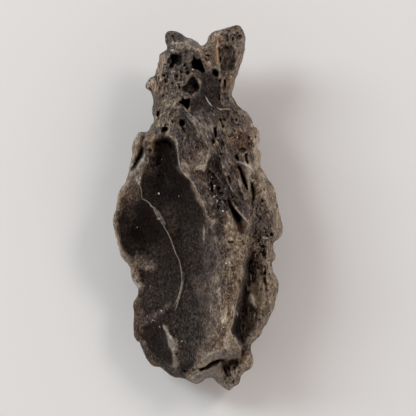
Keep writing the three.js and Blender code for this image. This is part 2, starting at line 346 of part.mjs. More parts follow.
// Stretches a membrane over the lines, from a coarse grid down to the finest one. The easy
// lines guide the coarse grids only, so that the finest one rounds them over.
function membrane(lines) {
  const EASY_PULL = 0.15;
  const GRIDS = [[8, 300], [4, 60], [2, 60], [1, 8]]; // cells to a step, smoothing sweeps
  let sheet = null;
  for (const [coarse, sweeps] of GRIDS) {
    const next = new Sheet(RELIEF_CELL * coarse);
    const sum = new Float64Array(next.height.length);
    const pull = new Float64Array(next.height.length);
    for (const [keen, , rows] of lines) {
      if (coarse === 1 && !keen) continue;
      for (const [x, y, z] of rows) {
        const k = next.nearest(x, y);
        sum[k] += z * (keen ? 1 : EASY_PULL);
        pull[k] += keen ? 1 : EASY_PULL;
      }
    }
    for (let j = 0; j < next.ny; j++) {
      for (let i = 0; i < next.nx; i++) {
        const k = j * next.nx + i;
        const [x, y] = [FRAME.west + i * next.cell, FRAME.south + j * next.cell];
        const guess = sheet ? sheet.at(x, y) : MIDDLE_HEIGHT;
        next.height[k] = pull[k] > 0 ? sum[k] / pull[k] : guess;
      }
    }
    for (let n = 0; n < sweeps; n++) relax(next, pull);
    sheet = next;
  }
  return sheet;
}

// One sweep that sets every free height to the mean of its four neighbours
function relax(sheet, pull) {
  const { nx, ny, height } = sheet;
  for (let j = 0; j < ny; j++) {
    for (let i = 0; i < nx; i++) {
      const k = j * nx + i;
      if (pull[k] > 0) continue;
      const west = height[i > 0 ? k - 1 : k];
      const east = height[i < nx - 1 ? k + 1 : k];
      const south = height[j > 0 ? k - nx : k];
      const north = height[j < ny - 1 ? k + nx : k];
      height[k] = (west + east + south + north) / 4;
    }
  }
}

// ---------------------------------------------------------------- the solid

// A repeatable number from 0 to 1 for a point of the lump lattice
function chance(i, j, k) {
  let h = Math.imul(i, 374761393) + Math.imul(j, 668265263) + Math.imul(k, 1440662683);
  h = Math.imul(h ^ (h >>> 13), 1274126177);
  return ((h ^ (h >>> 16)) >>> 0) / 4294967296;
}

// Smooth swells from -1 to 1, `spacing` apart
function lumps(x, y, z, spacing) {
  const p = [x, y, z].map((v) => v / spacing);
  const cell = p.map(Math.floor);
  const [u, v, w] = p.map((value, k) => THREE.MathUtils.smoothstep(value - cell[k], 0, 1));
  let sum = 0;
  for (const [i, wi] of [[0, 1 - u], [1, u]]) {
    for (const [j, wj] of [[0, 1 - v], [1, v]]) {
      for (const [k, wk] of [[0, 1 - w], [1, w]]) {
        sum += chance(cell[0] + i, cell[1] + j, cell[2] + k) * wi * wj * wk;
      }
    }
  }
  return 2 * sum - 1;
}

// The larger of two distances, with their meeting rounded over a width
function roundedMax(a, b, width) {
  const overlap = Math.max(width - Math.abs(a - b), 0);
  return Math.max(a, b) + (overlap * overlap) / (4 * width);
}

const edge = RIM.map(([x, y, z, half]) => [x, y, z, Math.max(half, EDGE_HALF)]);
const outline = curve(edge, true, LINE_STEP);
const asSpline = ([keen, name, rows]) => [keen, name, curve(rows, false, LINE_STEP)];
const rimLine = (height) => [KEEN, 'rim', outline.map((row) => [row[0], row[1], height(row)])];

const upper = membrane([...SCOOPS, ...BLADE, ...MIDDLE, ...BAND, ...FLANGE, ...HEAD, ...FOOT]
  .map(asSpline).concat([rimLine(([, , z, half]) => z + half)]));
const lower = membrane(UNDERSIDE.map(asSpline).concat([rimLine(([, , z, half]) => z - half)]));
const bluntness = membrane([rimLine(([, , , half]) => half)]);
const bubbles = [
  ...BUBBLES.map(([x, y, radius, sunk]) => ({ x, y, z: upper.at(x, y) - sunk, radius })),
  ...BUBBLES_BELOW.map(([x, y, radius, sunk]) => ({ x, y, z: lower.at(x, y) + sunk, radius })),
];

// How far a plan point lies outside the outline; negative inside it
function outside(x, y) {
  let nearest = Infinity;
  let inside = false;
  for (let i = 0; i < outline.length; i++) {
    const [ax, ay] = outline[i];
    const [bx, by] = outline[(i + 1) % outline.length];
    const [dx, dy] = [bx - ax, by - ay];
    const t = THREE.MathUtils.clamp(((x - ax) * dx + (y - ay) * dy) / (dx * dx + dy * dy || 1), 0, 1);
    nearest = Math.min(nearest, Math.hypot(x - ax - t * dx, y - ay - t * dy));
    if ((ay > y) !== (by > y) && x < ax + ((y - ay) / (by - ay)) * dx) inside = !inside;
  }
  return inside ? -nearest : nearest;
}

function roughness(x, y) {
  let most = ROUGH_LEAST;
  for (const [px, py, reach, strength] of ROUGH) {
    const fade = 1 - THREE.MathUtils.smoothstep(Math.hypot(x - px, y - py), reach * 0.6, reach);
    most = Math.max(most, strength * fade);
  }
  return most;
}

// What depends only on the place in plan, worked out once for each column
function column(x, y) {
  const step = RELIEF_CELL;
  const slope = (sheet) => Math.hypot(
    sheet.at(x + step, y) - sheet.at(x - step, y),
    sheet.at(x, y + step) - sheet.at(x, y - step)) / (2 * step);
  return {
    x,
    y,
    top: upper.at(x, y),
    base: lower.at(x, y),
    topSteepness: Math.hypot(1, slope(upper)),
    baseSteepness: Math.hypot(1, slope(lower)),
    outside: outside(x, y),
    blunt: bluntness.at(x, y),
    rough: roughness(x, y),
  };
}

// Negative inside the glass
function depth(col, z) {
  const { x, y } = col;
  const high = THREE.MathUtils.smoothstep((z - col.base) / Math.max(col.top - col.base, 1), ...FLANK);
  const rough = THREE.MathUtils.lerp(ROUGH_BELOW, col.rough, high);
  const swell = LUMP_HEIGHT * rough * (lumps(x, y, z, LUMP) + 0.5 * lumps(x, y, z, LUMP / 2));
  const above = (z - col.top + swell * Math.min(col.topSteepness, STEEPEST_LUMP)) / col.topSteepness;
  const below = (col.base - z + swell * Math.min(col.baseSteepness, STEEPEST_LUMP)) / col.baseSteepness;
  let d = roundedMax(above, below, EDGE_ROUNDING);
  d = roundedMax(d, col.outside + OUTLINE_LUMP * swell, col.blunt);
  for (const b of bubbles) d = roundedMax(d, b.radius - Math.hypot(x - b.x, y - b.y, z - b.z), BUBBLE_LIP);
  return Math.max(d, -z);
}

// ---------------------------------------------------------------- the skin

// Samples the solid on a grid. A sample is solid where the value is negative.
function sampleSolid() {
  const counts = [
    Math.round((FRAME.east - FRAME.west) / CELL) + 1,
    Math.round((FRAME.north - FRAME.south) / CELL) + 1,
    Math.round((FRAME.top - FRAME.floor) / CELL) + 1,
  ];
  const [nx, ny, nz] = counts;
  const value = new Float64Array(nx * ny * nz);
  for (let j = 0; j < ny; j++) {
    for (let i = 0; i < nx; i++) {
      const col = column(FRAME.west + i * CELL, FRAME.south + j * CELL);
      for (let k = 0; k < nz; k++) value[(k * ny + j) * nx + i] = depth(col, FRAME.floor + k * CELL);
    }
  }
  return { counts, value };
}

// Every sample that can be reached from one of them through neighbours that pass the test
function flood(counts, from, passes) {
  const [nx, ny] = counts;
  const reached = new Uint8Array(counts[0] * counts[1] * counts[2]);
  const open = [from];
  reached[from] = 1;
  while (open.length > 0) {
    const k = open.pop();
    const [x, y] = [k % nx, Math.floor(k / nx) % ny];
    const next = [k - nx * ny, k + nx * ny];
    if (x > 0) next.push(k - 1);
    if (x < nx - 1) next.push(k + 1);
    if (y > 0) next.push(k - nx);
    if (y < ny - 1) next.push(k + nx);
    for (const n of next) {
      if (n < 0 || n >= reached.length || reached[n] || !passes(n)) continue;
      reached[n] = 1;
      open.push(n);
    }
  }
  return reached;
}

// Drops every crumb that isn't joined to the heart of the piece and fills every pocket that
// outside air can't reach, which leaves one body with no sealed hollow.
function keepOneBody({ counts, value }) {
  const [nx, ny, nz] = counts;
  const heart = (Math.floor(nz * 0.4) * ny + Math.floor(ny / 2)) * nx + Math.floor(nx / 2);
  const body = flood(counts, heart, (k) => value[k] < 0);
  value.forEach((v, k) => {
    if (!body[k]) value[k] = Math.max(v, FILL_DEPTH);
  });
  const air = flood(counts, 0, (k) => value[k] >= 0);
  value.forEach((v, k) => {
    if (!body[k] && !air[k]) value[k] = -FILL_DEPTH;
  });
}

// Fills the few samples that would make the skin touch itself along an edge or at a point: two
// solid samples diagonally across a square, or across a cube, with nothing solid between them.
function mendContacts({ counts, value }) {
  const [nx, ny, nz] = counts;
  const steps = [1, nx, nx * ny];
  const isSolid = (k) => value[k] < 0;
  let mended = true;
  while (mended) {
    mended = false;
    for (let z = 0; z < nz - 1; z++) {
      for (let y = 0; y < ny - 1; y++) {
        for (let x = 0; x < nx - 1; x++) {
          const k = (z * ny + y) * nx + x;
          for (const [a, b] of [[0, 1], [1, 2], [2, 0]]) {
            const square = [k, k + steps[a], k + steps[b], k + steps[a] + steps[b]];
            const [s00, s10, s01, s11] = square.map(isSolid);
            if (s00 === s11 && s10 === s01 && s00 !== s10) {
              value[s00 ? square[1] : square[0]] = -FILL_DEPTH;
              mended = true;
            }
          }
          mended = mendCube(k, steps, value) || mended;
        }
      }
    }
  }
}

// A cube whose only two solid samples, or only two empty ones, are at opposite corners
function mendCube(k, steps, value) {
  const corners = [...Array(8).keys()].map(
    (c) => k + (c & 1 ? steps[0] : 0) + (c & 2 ? steps[1] : 0) + (c & 4 ? steps[2] : 0));
  const solid = corners.filter((c) => value[c] < 0);
  const few = solid.length === 2 ? solid : corners.filter((c) => value[c] >= 0);
  if (few.length !== 2 || few[0] + few[1] !== corners[0] + corners[7]) return false;
  if (solid.length === 2) value[few[0] + steps[0]] = -FILL_DEPTH;
  else value[few[0]] = -FILL_DEPTH;
  return true;
}

// One vertex in each grid cube that the surface crosses, one quad across each crossed edge
function skinSolid({ counts, value }) {
  const [nx, ny, nz] = counts;
  const steps = [1, nx, nx * ny];
  const vertexOf = new Map();
  const positions = [];
  const triangles = [];

  for (let z = 0; z < nz - 1; z++) {
    for (let y = 0; y < ny - 1; y++) {
      for (let x = 0; x < nx - 1; x++) {
        const k = (z * ny + y) * nx + x;
        const crossing = meanCrossing(k, steps, value);
        if (!crossing) continue;
        vertexOf.set(k, positions.length / 3);
        const height = FRAME.floor + (z + crossing[2]) * CELL;
        positions.push(
          FRAME.west + (x + crossing[0]) * CELL,
          FRAME.south + (y + crossing[1]) * CELL,
          Math.abs(height) < FLAT_SNAP ? 0 : height);
      }
    }
  }

  for (let z = 1; z < nz - 1; z++) {
    for (let y = 1; y < ny - 1; y++) {
      for (let x = 1; x < nx - 1; x++) {
        const k = (z * ny + y) * nx + x;
        for (let axis = 0; axis < 3; axis++) {
          const inside = value[k] < 0;
          if (inside === value[k + steps[axis]] < 0) continue;
          const [a, b] = [steps[(axis + 1) % 3], steps[(axis + 2) % 3]];
          const quad = [k - a - b, k - b, k, k - a].map((cube) => vertexOf.get(cube));
          if (!inside) quad.reverse();
          triangles.push(quad[0], quad[1], quad[2], quad[0], quad[2], quad[3]);
        }
      }
    }
  }
  return { positions, triangles };
}

// The mean place, in cells, of the points where the surface crosses the cube's twelve edges
function meanCrossing(k, steps, value) {
  const sum = [0, 0, 0];
  let crossings = 0;
  for (let axis = 0; axis < 3; axis++) {
    const [a, b] = [(axis + 1) % 3, (axis + 2) % 3];
    for (const [i, j] of [[0, 0], [1, 0], [0, 1], [1, 1]]) {
      const from = k + i * steps[a] + j * steps[b];
      const [v0, v1] = [value[from], value[from + steps[axis]]];
      if (v0 < 0 === v1 < 0) continue;
      sum[axis] += v0 / (v0 - v1);
      sum[a] += i;
      sum[b] += j;
      crossings++;
    }
  }
  return crossings && sum.map((total) => total / crossings);
}

// The skin cuts a little off every tip: brings it back to full size, over the origin
function fitToSize(geometry) {
  geometry.computeBoundingBox();
  const { min, max } = geometry.boundingBox;
  geometry.translate(-(min.x + max.x) / 2, -(min.y + max.y) / 2, -min.z);
  geometry.scale(WIDTH / (max.x - min.x), LENGTH / (max.y - min.y), HEIGHT / (max.z - min.z));
}

function makeGlass() {
  const solid = sampleSolid();
  keepOneBody(solid);
  mendContacts(solid);
  keepOneBody(solid);
  const { positions, triangles } = skinSolid(solid);
  const geometry = new THREE.BufferGeometry();
  geometry.setAttribute('position', new THREE.Float32BufferAttribute(positions, 3));
  geometry.setIndex(triangles);
  fitToSize(geometry);
  geometry.computeVertexNormals();
  const glass = new THREE.Mesh(
    geometry, new THREE.MeshStandardMaterial({ color: '#352d28', roughness: 0.45, metalness: 0 }));
  glass.name = 'darwin_glass';
  return glass;
}

const specimen = new THREE.Group();
specimen.add(makeGlass());

export default specimen;
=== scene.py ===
import math

import bmesh
import bpy
import numpy as np
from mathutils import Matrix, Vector


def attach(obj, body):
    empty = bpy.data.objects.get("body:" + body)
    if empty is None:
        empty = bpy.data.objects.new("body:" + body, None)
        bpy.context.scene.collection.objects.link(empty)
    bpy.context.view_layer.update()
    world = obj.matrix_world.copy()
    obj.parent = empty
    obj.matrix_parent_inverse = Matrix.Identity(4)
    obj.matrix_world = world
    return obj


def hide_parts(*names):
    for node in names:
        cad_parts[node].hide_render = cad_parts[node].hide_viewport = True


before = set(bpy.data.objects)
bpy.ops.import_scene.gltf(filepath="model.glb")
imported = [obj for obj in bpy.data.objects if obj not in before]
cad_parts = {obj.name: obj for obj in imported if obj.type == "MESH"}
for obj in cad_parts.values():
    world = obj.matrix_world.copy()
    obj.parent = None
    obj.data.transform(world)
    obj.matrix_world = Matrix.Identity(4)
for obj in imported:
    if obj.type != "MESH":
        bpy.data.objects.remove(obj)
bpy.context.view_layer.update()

# ------------------------------------------------------------------------------------------
# The form of the melt. The specimen is one twisted splash of molten rock that froze to glass
# and later split along two long shell-shaped fractures. It is set out as a relief map in
# millimetres: the outline, and the crests and troughs of its upper and lower sides.

KEEN, EASY = True, False     # a keen line stays a crease, an easy one is rounded over

# x, y, height of the edge, half its thickness; clockwise from the left horn
RIM = [
    [-4.3, 23.5, 8.2, 0.8], [-3.9, 24, 8.2, 0.7], [-3, 24, 8.3, 0.7], [-2.2, 23.65, 8.4, 0.8],
    [-1.6, 23.2, 8.3, 0.8], [-0.9, 23, 8.2, 0.8], [-0.2, 22.5, 8.2, 0.9], [0.4, 22.1, 8.2, 0.9],
    [0.9, 22.1, 8.2, 0.9], [1.4, 22.6, 8.4, 0.8], [1.7, 23.4, 8.5, 0.7], [2.3, 24, 8.7, 0.7],
    [3.5, 24.3, 9, 0.7], [4.6, 24.6, 9.1, 0.6], [5.55, 24.85, 9.1, 0.5], [6.1, 24.3, 8.9, 0.6],
    [6.5, 23.2, 8.7, 0.7], [6.4, 22, 8.5, 0.7], [6.1, 20.5, 8.2, 0.8], [5.75, 19.3, 7.9, 0.8],
    [5.25, 18.2, 7.5, 0.9], [5, 17.2, 7.1, 1], [4.8, 16.2, 6.8, 1.1], [4.65, 15.3, 6.6, 1.1],
    [5.1, 14.6, 6.4, 1.1], [5.4, 14.05, 6.3, 1.1], [5.9, 13.5, 6.1, 1.1], [6.7, 12.85, 5.9, 1.1],
    [7.2, 12.1, 5.8, 1.2], [7.7, 11.1, 5.7, 1.3], [8.3, 10.5, 5.6, 1.4], [8.5, 9.7, 5.6, 1.4],
    [8.4, 8.6, 5.6, 1.3], [8.2, 8, 5.6, 1.1], [8.65, 7.5, 5.5, 1.3], [8.6, 6.3, 5.4, 1.3],
    [8.6, 5.3, 5.4, 1.2], [9.1, 4.9, 5.3, 1.3], [9.55, 3.95, 5.2, 1.5], [10.2, 3, 5.1, 1.6],
    [10.65, 1.75, 5, 1.7], [10.85, 0.2, 5, 1.8], [11.3, -1.3, 5, 1.9], [11.7, -2.9, 5, 1.8],
    [11.3, -4, 5, 1.6], [10.3, -4.8, 5, 1.1], [10.35, -5.6, 5, 1.1], [10.6, -6.9, 4.9, 1.1],
    [10.1, -7.6, 4.9, 1.1], [10.4, -9, 4.8, 1.2], [10.95, -10.8, 4.7, 1.2],
    [10.6, -12.4, 4.6, 1.1], [10.3, -13.9, 4.6, 1], [9.7, -15.2, 4.6, 1], [9, -16.5, 4.6, 1],
    [8.5, -17.6, 4.6, 1], [7.5, -18.4, 4.6, 1.1], [7.3, -19.3, 4.5, 1.2], [7.65, -20.8, 4.4, 1.3],
    [7.4, -21.9, 4.3, 1.2], [6.4, -22.7, 4.1, 1], [5.9, -23.4, 3.9, 0.9], [5.6, -24.2, 3.8, 0.9],
    [5, -24.5, 3.7, 0.9], [4.3, -25, 3.6, 0.8], [3.5, -24.5, 3.7, 0.9], [2.7, -23.8, 3.9, 0.9],
    [2, -23.2, 4.1, 0.9], [1.2, -23.35, 4.2, 0.8], [0.6, -23.85, 4.2, 0.7],
    [-0.1, -24.15, 4.2, 0.6], [-0.6, -23.95, 4.2, 0.6], [-1, -23.6, 4.2, 0.6], [-2, -23.3, 4, 0.6],
    [-3, -23.25, 3.8, 0.5], [-3.9, -22.7, 3.7, 0.5], [-5, -21.85, 3.7, 0.5],
    [-6.1, -21.5, 3.7, 0.5], [-6.8, -20.8, 3.7, 0.5], [-7.3, -19.6, 3.8, 0.5],
    [-7.65, -18.8, 3.9, 0.5], [-7.85, -18.3, 4, 0.5], [-8.3, -18.1, 4.1, 0.6],
    [-8.6, -17.2, 4.3, 0.7], [-8.65, -15.8, 4.5, 0.7], [-8.6, -14.4, 4.7, 0.7],
    [-8.75, -13.3, 4.9, 0.7], [-8.5, -12.7, 5, 0.6], [-8.15, -12.1, 5, 0.5],
    [-8.1, -11.4, 4.9, 0.4], [-8.35, -10.85, 4.8, 0.35], [-8.8, -10.2, 4.9, 0.35],
    [-9.1, -9.4, 5.1, 0.35], [-9, -8.3, 5.4, 0.35], [-9.25, -7.6, 5.6, 0.35], [-9.9, -7, 5.8, 0.4],
    [-10.5, -6.3, 6, 0.4], [-10.8, -5.3, 6.3, 0.35], [-11.1, -3.9, 6.6, 0.3],
    [-11.35, -2.6, 6.7, 0.3], [-11.6, -1.5, 6.8, 0.3], [-11.3, -0.4, 6.8, 0.3],
    [-11, 0.8, 6.7, 0.35], [-10.75, 1.8, 6.6, 0.4], [-10.2, 2.8, 6.5, 0.45], [-9.6, 3.6, 6.3, 0.5],
    [-9.2, 4.6, 5.6, 0.5], [-9, 5.8, 5, 0.5], [-8.85, 7, 4.8, 0.5], [-8.7, 8.5, 4.8, 0.5],
    [-8.4, 9.6, 4.9, 0.5], [-8, 10.25, 5, 0.5], [-7.4, 10.35, 5.3, 0.5], [-6.95, 10.4, 5.8, 0.6],
    [-6.5, 10.8, 6.4, 0.8], [-6.05, 11.6, 6.8, 1], [-5.95, 12.4, 7, 1.1], [-6.05, 13.5, 7, 1.1],
    [-5.9, 14.5, 7, 1.1], [-6.1, 15.5, 6.9, 1.1], [-6.4, 16, 6.8, 1], [-6.95, 16.4, 6.7, 0.9],
    [-6.85, 17.1, 6.8, 0.9], [-6.4, 17.7, 7, 1], [-5.8, 18, 7.2, 1.1], [-5.6, 18.9, 7.4, 1.1],
    [-5.15, 19.9, 7.6, 1.1], [-4.85, 20.9, 7.8, 1], [-4.4, 21.25, 8, 0.9], [-4.05, 21.5, 8.1, 0.8],
    [-4.05, 22.2, 8.2, 0.8], [-4.25, 22.9, 8.2, 0.8],
]

SCOOPS = [
    (KEEN, "knife ridge", [[-7.9, 3.3, 8.8], [-7.6, 2.2, 9.1], [-7.5, 1.2, 9.3], [-6.9, 0.9, 9.6],
     [-6.2, 0.2, 9.9], [-5.7, -0.8, 10], [-5.1, -1.7, 10.1], [-4.4, -2.8, 10], [-3.8, -3.9, 9.8],
     [-3.3, -5.2, 9.5], [-2.9, -6.3, 9.3], [-2.4, -7.4, 9.1], [-2.2, -8.6, 8.95],
     [-2.1, -9.8, 8.85], [-2.3, -11.2, 8.7], [-2.7, -12.4, 8.4], [-3.2, -13.4, 8.1],
     [-4, -14.2, 7.8]]),
    (EASY, "foot of the knife ridge", [[-7.6, 0.2, 6.7], [-6.9, -0.9, 6.4], [-6.1, -2.3, 6.4],
     [-5.1, -4.2, 6.6], [-4.2, -6.2, 6.9], [-3.6, -8.2, 7.2], [-3.3, -10, 7.5], [-3.6, -12, 7.4]]),
    (EASY, "floor of the outer scoop", [[-9.8, -0.8, 6.1], [-9.2, -2.4, 5.4], [-7.6, -3.6, 5.1],
     [-6.3, -5.5, 5.4], [-5.5, -8, 5.9], [-5.2, -10.5, 6.2], [-5.4, -12.5, 6.4]]),
    (EASY, "head of the outer scoop", [[-10.2, 1.4, 6.7], [-9.4, 2.2, 7.1], [-8.6, 1.6, 7.7]]),
    (EASY, "floor of the long scoop", [[-5.2, 5.2, 8.2], [-5, 3.4, 8.3], [-4.3, 1.2, 8.4],
     [-3.2, -1.2, 8.4], [-2.2, -4, 8.4], [-1.4, -7, 8.35], [-1.2, -10, 8.3], [-1.4, -13, 8.2],
     [-1.7, -16, 7.9], [-1.8, -19, 7.3], [-1.6, -21.5, 6.3]]),
    (EASY, "near wall of the long scoop", [[-6.5, 5.5, 8.6], [-6.6, 3.5, 8.6], [-6.3, 1.6, 8.8],
     [-5.3, -0.3, 9.2]]),
    (EASY, "far wall of the long scoop", [[-3, 4.9, 10.3], [-2.2, 3.5, 10.4], [-1.2, 2, 10.6],
     [-0.5, 0.2, 10.7], [0, -1.8, 10.7], [0.2, -4, 10.5], [0.2, -6.5, 10], [0.2, -9, 9.6],
     [0.2, -12, 9.3], [0, -15, 9], [-0.3, -18, 8.5], [-0.6, -20.5, 7.8]]),
    (KEEN, "near edge of the long scoop", [[-7.05, 7.2, 9.3], [-7.4, 5.8, 9.2], [-7.65, 4.6, 9],
     [-7.9, 3.3, 8.8]]),
    (KEEN, "brow of the cave", [[-6.9, 9.2, 9.9], [-6.2, 9.05, 10.4], [-5.7, 9.35, 10.9],
     [-4.8, 9.45, 11.5], [-4, 9.6, 11.9], [-3.4, 9.4, 12.1]]),
    (KEEN, "back of the cave", [[-6.4, 8.2, 9.3], [-5.6, 8.7, 9.2], [-4.7, 9, 9.2],
     [-3.9, 8.9, 9.4], [-3.4, 8.3, 9.9]]),
    (EASY, "floor of the cave", [[-6.5, 6.9, 9], [-5.6, 7.3, 8.9], [-4.6, 7.5, 8.9],
     [-3.7, 7.2, 9.2], [-3.15, 6.4, 9.8]]),
    (KEEN, "high ridge", [[-3.4, 9.4, 12.1], [-2.95, 8.2, 12.4], [-2.7, 7, 12.7], [-2.5, 6, 12.9],
     [-2.2, 5, 13.1], [-1.6, 4.4, 13.3], [-1, 3.9, 13.5], [-0.4, 3, 13.7], [0, 2.2, 13.8],
     [0.35, 1.2, 13.9], [0.9, 0.2, 13.9], [1.3, -0.8, 13.8], [1.7, -1.6, 13.6], [2.1, -2.5, 13.3],
     [2.3, -3.4, 13]]),
    (KEEN, "crack across the lower left", [[-7.4, -15.5, 5.6], [-6.2, -15.5, 5.9],
     [-5, -15.1, 6.4], [-4, -14.7, 7]]),
    (KEEN, "pale crest", [[-4.8, -15.7, 7.5], [-4.45, -16.6, 7.8], [-4, -17.6, 7.9],
     [-3.55, -18.6, 7.9], [-3.3, -19.6, 7.6], [-3.2, -20.6, 7], [-3, -21.6, 6.2],
     [-2.6, -22.3, 5.6]]),
    (EASY, "foot of the pale crest", [[-5.2, -16.4, 6.3], [-5, -17.6, 6.2], [-4.6, -18.9, 6.1],
     [-4.1, -20.3, 5.7], [-3.8, -21.6, 5.1]]),
    (EASY, "lower left floor", [[-7.2, -13.5, 5.9], [-7, -17, 5.5], [-6.2, -19.2, 5.1],
     [-5.2, -20.9, 4.6]]),
]

BLADE = [
    (KEEN, "shoulder above the blade", [[-6.9, 9.9, 9.6], [-7.1, 8.8, 9.4], [-7.1, 7.6, 9.3],
     [-7.4, 6.9, 9.1], [-7.9, 5.9, 8.7], [-8.4, 4.8, 8.2], [-9, 3.9, 7.4]]),
    (KEEN, "slot beside the blade", [[-7.25, 9.6, 5.6], [-7.45, 8.3, 5.2], [-7.65, 7.2, 5],
     [-8.25, 6.2, 5], [-8.85, 5.1, 5.2]]),
    (EASY, "crest of the blade", [[-7.9, 9.9, 6.2], [-8.2, 8.6, 6.2], [-8.4, 7.2, 6],
     [-8.75, 5.9, 5.7]]),
]

MIDDLE = [
    (KEEN, "ribbed crest", [[-1.9, 13.3, 13.2], [-1.3, 12.5, 13.8], [-0.6, 11.6, 14.3],
     [0, 10.8, 14.6], [0.7, 9.9, 14.6], [1.2, 9.1, 14.3], [1.7, 8.2, 13.9]]),
    (EASY, "hollow left of the ribs", [[-2.4, 12.2, 12.2], [-1.9, 10.9, 12.4], [-1.3, 9.9, 12.9],
     [-0.6, 9, 13.2]]),
    (KEEN, "upper edge of the brown facet", [[-6.05, 12.1, 8.4], [-5.3, 12.45, 9.6],
     [-4.3, 13, 10.8], [-3.4, 13.8, 11.7], [-2.7, 14.1, 12.2], [-1.9, 13.3, 13.2]]),
    (EASY, "brown facet", [[-5.9, 11, 9.5], [-4.6, 11.2, 10.7], [-3.6, 11.3, 11.6],
     [-2.9, 10.2, 12.3]]),
    (KEEN, "edge of the bevel", [[-1, 3.9, 13.5], [0, 4, 13.3], [0.7, 3, 13.4], [1.3, 2.1, 13.4],
     [1.9, 1.3, 13.4], [2.7, 0.3, 13.3], [3.4, -0.6, 13.2], [3.9, -1.5, 13.2]]),
    (KEEN, "foot of the wedge", [[-2.2, 5, 13.1], [-1, 5, 13.2], [0, 5, 13.3], [1, 5.1, 13.3]]),
    (KEEN, "right edge of the wedge", [[1.7, 8.2, 13.9], [1.6, 7.2, 13.7], [1.3, 6.1, 13.5],
     [1, 5.1, 13.3]]),
    (EASY, "under the wedge", [[-0.9, 4.4, 12.6], [0.2, 4.5, 12.3], [1.3, 4.3, 12.1]]),
    (EASY, "torn hollow", [[2.3, 8.6, 12.4], [2.3, 7.2, 11.9], [2, 5.8, 11.7], [1.9, 4.6, 11.5],
     [2.1, 3.5, 11.4], [2.5, 2.2, 11.5], [2.9, 1, 11.8]]),
    (EASY, "middle of the tear", [[3.4, 7.6, 12.6], [3.9, 5.6, 12.3], [4.1, 3.6, 12.1],
     [4, 1.9, 12]]),
    (EASY, "right of the tear", [[5.2, 4.4, 11.8], [5.6, 2.6, 12], [6, 0.8, 12.1],
     [6.5, -0.6, 12.2]]),
    (EASY, "grey slope", [[1.6, 12.4, 12.7], [2.2, 11, 12.6], [2.4, 9.8, 12.4]]),
    (KEEN, "long crevice", [[5.75, 5.5, 10], [6, 4.6, 9.3], [6.3, 3.8, 9.2], [6.6, 3, 9.4],
     [6.85, 2.5, 10.2]]),
    (KEEN, "short crevice", [[7.35, 3.2, 9], [7.55, 2.2, 8.4], [7.7, 1.1, 8.9]]),
    (KEEN, "pale lip over the crevice", [[5.4, 6.3, 11.2], [6.2, 6, 10.9], [7, 5.5, 10.4],
     [7.6, 4.9, 9.8]]),
    (EASY, "beside the crevice", [[6.5, 4.9, 10.9], [7, 3.9, 10.7], [7.2, 2.6, 10.9],
     [7.1, 1, 11.2], [7.2, -0.6, 11.4]]),
    (EASY, "upper shoulder", [[4, 11.8, 11], [4.6, 10.2, 11], [4.9, 8.6, 11.2]]),
    (EASY, "lower shoulder", [[6, 12, 9], [6.8, 10.4, 8.9], [6.9, 8.8, 9], [7.2, 7.2, 8.6]]),
]

BAND = [
    (EASY, "left side of the band", [[2.3, -3.4, 13], [3, -5.6, 12.5], [2.7, -8, 11.7],
     [1.9, -9.6, 11], [1.5, -10.8, 10.6], [1.6, -12, 10.5], [1.9, -13.5, 10.5], [1.6, -15, 10.2],
     [1.5, -17, 9.8], [1, -18.6, 9.4], [0.4, -20, 8.9], [0, -21.2, 8.4]]),
    (EASY, "crest of the band", [[3.9, -1.5, 13.2], [4.4, -3, 13.3], [4.9, -5, 13.3],
     [4.8, -7, 13.1], [4.5, -9, 12.9], [4.2, -11, 12.6], [3.9, -13, 12.4], [3.8, -15, 12.1],
     [3.8, -17, 11.7], [4.2, -18.5, 11.4]]),
    (EASY, "grey facet", [[0.9, -1.8, 12.2], [0.8, -4, 11.6], [0.8, -6, 11], [0.9, -8, 10.5]]),
    (KEEN, "left edge of the notch", [[3.7, 1.1, 12.4], [4.2, -0.1, 12.9], [4.7, -1.2, 13.1],
     [5.15, -2.2, 13.1], [5.5, -3.3, 12.9]]),
    (KEEN, "floor of the notch", [[4.2, 0.8, 11], [4.8, -0.2, 9.6], [5.4, -1.4, 9.4],
     [5.9, -2.4, 10.6], [6, -3.6, 12]]),
    (KEEN, "right edge of the notch", [[4.6, 1, 12.2], [5.2, -0.1, 12.5], [5.8, -0.8, 12.6],
     [6.5, -1.6, 12.5], [7, -2.1, 12.3]]),
    (KEEN, "edge of the cliff", [[7, -2.1, 12.3], [6.9, -3.2, 12.4], [6.85, -4.5, 12.4],
     [6.8, -5.5, 12.3], [6.5, -6.7, 12.2], [6.2, -7.6, 12.1], [6.3, -9, 12], [5.95, -9.9, 11.9],
     [5.7, -11, 11.8], [5.45, -12.1, 11.6], [5.2, -13.2, 11.5], [5.05, -14.2, 11.4],
     [4.95, -15.3, 11.3], [4.7, -16.3, 11.2], [5, -17.4, 11.1], [5.4, -18.3, 11],
     [5.75, -19.3, 10.8]]),
    (KEEN, "foot of the cliff", [[7.9, -2.4, 9.8], [7.8, -4.5, 9], [7.7, -5.7, 8.2],
     [7.4, -6.8, 7.2], [7, -8, 6.6], [7.1, -9.3, 6.2], [6.8, -10.3, 6.1], [6.5, -11.4, 6],
     [6.2, -12.6, 5.9], [6, -13.8, 5.8], [5.8, -15, 5.7], [5.5, -16.3, 5.6], [5.8, -17.4, 5.6],
     [6.1, -18.4, 5.6], [6.4, -19.4, 5.6]]),
    (KEEN, "broken ledge on the cliff", [[7.4, -3.2, 11.1], [7.2, -5.2, 10.2], [6.9, -6.7, 10.4],
     [6.6, -8, 9.2], [6.6, -9.4, 9.6], [6.2, -10.8, 8.6], [5.9, -12.2, 9.2], [5.6, -13.8, 8],
     [5.3, -15.6, 8.8], [5.2, -16.8, 7.8], [5.7, -18.2, 8.6]]),
]

